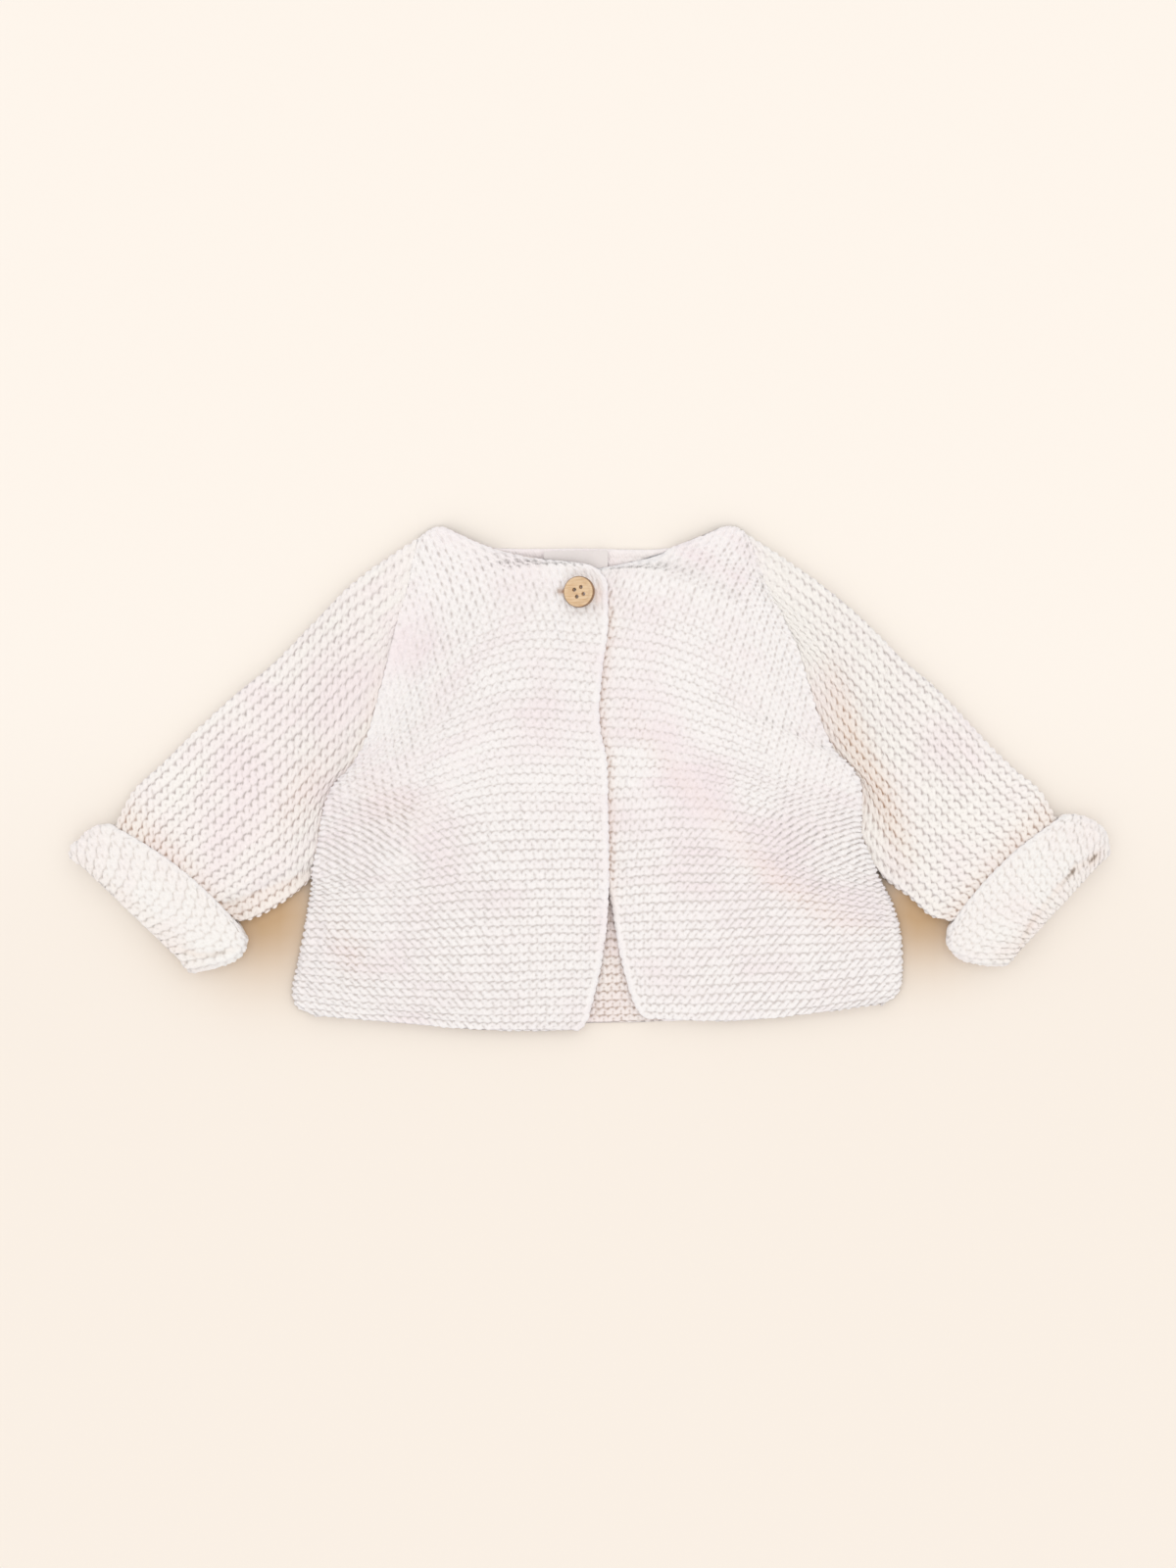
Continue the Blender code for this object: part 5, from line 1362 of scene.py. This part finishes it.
for i in range(4):
    angle = math.radians(90 * i + HOLES_FROM)
    bpy.ops.object.select_all(action="DESELECT")
    bpy.ops.mesh.primitive_cylinder_add(
        vertices=24, radius=HOLE_RADIUS * MM, depth=9 * MM,
        location=(HOLE_OFFSET * MM * math.cos(angle), HOLE_OFFSET * MM * math.sin(angle), 0),
    )
    drill = bpy.context.object
    bpy.ops.object.select_all(action="DESELECT")
    bpy.context.view_layer.objects.active = button
    button.select_set(True)
    cut = button.modifiers.new("drill", "BOOLEAN")
    cut.operation, cut.object = "DIFFERENCE", drill
    bpy.ops.object.modifier_apply(modifier="drill")
    bpy.data.objects.remove(drill)

middle_of_button = (Vector(BUTTON_CENTRE) - Vector(ORIGIN)) * MM
leaning = Matrix.Rotation(math.radians(-BUTTON_TILT), 4, "Y")
button.matrix_world = Matrix.Translation(middle_of_button) @ leaning
bpy.ops.object.transform_apply(location=True, rotation=True, scale=True)
bpy.ops.object.shade_smooth_by_angle(angle=math.radians(35))
print("button:", [round(1000 * d, 1) for d in button.dimensions], "mm,", len(button.data.polygons), "faces")

# %% [markdown]
# ### Turned wood
#
# Light hardwood, waxed: pale tan with fine darker lines along the grain, about a millimetre apart, and a
# darker side, partly end grain where the rim was turned and partly painted shadow.

# %% Wood
def turned_wood(name, dark, light):
    """Wood with its grain between two colours."""
    made, tree, shader = material(name, Roughness=0.5, Specular_IOR_Level=0.45)
    drawn_out = {"Rotation": (0, 0, 0.5), "Scale": (1000 / 9, 1000 / 0.9, 1000 / 3)}
    along = add(tree, "Mapping", {"Vector": add(tree, "TexCoord"), **drawn_out})
    grain = noise(tree, along, 1.0, 4.0, Distortion=0.4)
    tone = add(tree, "ValToRGB", {"Fac": grain})
    for element, position, colour in zip(tone.node.color_ramp.elements, (0.3, 0.62), (dark, light)):
        element.position, element.color = position, linear(colour)
    tree.links.new(tone, shader.inputs["Base Color"])
    tree.links.new(bump(tree, grain, 0.2, 0.2), shader.inputs["Normal"])
    return made


button.data.materials.append(turned_wood("Turned_light_hardwood", "#c8a57c", "#dcc2a0"))
# the side: end grain and painted shadow
button.data.materials.append(turned_wood("Turned_edge_of_hardwood_and_painted_shadow", "#6f4f35", "#94704e"))
axis = leaning @ Vector((0, 0, 1))
for face in button.data.polygons:
    outside = (face.center - middle_of_button).cross(axis).length > (BUTTON_RADIUS - BUTTON_EDGE) * MM
    face.material_index = int(outside and abs(face.normal.dot(axis)) < 0.93)
print("faces of end grain and painted shadow:", sum(face.material_index for face in button.data.polygons))

# %% [markdown]
# ## On the frame
#
# Every new piece stands for one solid, which is hidden, and rides on the one body.

# %% Pieces
PIECES = (
    (back_knit, "back", "knit_body"),
    (front_right, "front_right", "knit_body"),
    (front_left, "front_left", "knit_body"),
    (sleeve_right, "sleeve_right", "knit_sleeve"),
    (sleeve_left, "sleeve_left", "knit_sleeve"),
    (cuff_right, "cuff_right", "knit_cuff"),
    (cuff_left, "cuff_left", "knit_cuff"),
    (label, "neck_label", "woven_satin"),
    (button, "button", "wood"),
)
for piece, node, slot in PIECES:
    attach(piece, "root")
    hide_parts(node)

# %% [markdown]
# ## Table, light and camera
#
# The cardigan lies on pale card under a wide soft dome, which is warm white above and cooler and dimmer
# towards the horizon. Shade is painted on the card: tan and darker under each arm, and a little darker
# towards the bottom. The camera looks straight down.

# %% Table
SHADED = ((-151, -60, 32), (154.5, -60, 27))  # x, y and reach of the shade under each arm
JUST_BELOW = 0.2  # how far the card lies below the cloth
xs = np.array((-3000, *range(-320, 321, 8), 3000))
ys = np.array((-3000, *range(-200, 201, 8), 3000))
x, y = (a.ravel() for a in np.meshgrid(xs, ys))
shade = sum(np.exp(-((x - cx) ** 2 + (y - cy) ** 2) / reach**2) for cx, cy, reach in SHADED)
# painted shade, a little darker towards the bottom
shade += 0.09 * ease((60 - y) / 160)
card_mesh = bpy.data.meshes.new("table_top")
places = np.column_stack((x * MM, y * MM, 0 * x - JUST_BELOW * MM))
card_mesh.from_pydata(places.tolist(), [], quads(0, len(ys), len(xs), False))
card_mesh.attributes.new("painted_shade_beside_cloth", "FLOAT", "POINT").data.foreach_set("value", shade)
table_top = bpy.data.objects.new("table_top", card_mesh)
bpy.context.scene.collection.objects.link(table_top)

# %% Card
card, tree, shader = material("Pale_card", Roughness=0.85, Specular_IOR_Level=0.2)
beside = add(tree, "Attribute", attribute_name="painted_shade_beside_cloth")
# pale card, mixed towards tan where shade is painted beside the cloth
tree.links.new(mixed(tree, beside, linear("#eee9e2"), linear("#bfa280")), shader.inputs["Base Color"])
card_mesh.materials.append(card)
print("card:", len(card_mesh.polygons), "faces")

# %% Light
world = bpy.data.worlds.new("studio")
world.use_nodes = True
sky = world.node_tree
direction = add(sky, "TexCoord").node.outputs["Generated"]
parts = add(sky, "SeparateXYZ", {"Vector": direction})
raised = ramp(sky, parts.node.outputs["Z"], 0.05, 0.6)
dome = mixed(sky, raised, (0.88, 0.95, 1.08, 1), (1.2, 1.15, 1.1, 1))
sky.links.new(dome, sky.nodes["Background"].inputs["Color"])
sky.nodes["Background"].inputs["Strength"].default_value = 1.0
bpy.context.scene.world = world
bpy.context.scene.view_settings.view_transform = "Standard"
bpy.context.scene.view_settings.look = "None"
print("light: a dome of", len(sky.nodes), "nodes")

# %% Camera
VIEW_CENTRE = (0.0, -1.8)
VIEW_HEIGHT = 727.3
CAMERA_DISTANCE = 1400

lens = bpy.data.cameras.new("from_above")
lens.sensor_fit = "VERTICAL"
lens.sensor_height = 36
lens.lens = 36 * CAMERA_DISTANCE / VIEW_HEIGHT
camera = bpy.data.objects.new("from_above", lens)
camera.location = (np.array((*VIEW_CENTRE, CAMERA_DISTANCE)) - ORIGIN) * MM
bpy.context.scene.collection.objects.link(camera)
bpy.context.scene.camera = camera
print("camera:", round(lens.lens), "mm lens,", CAMERA_DISTANCE, "mm above the table")
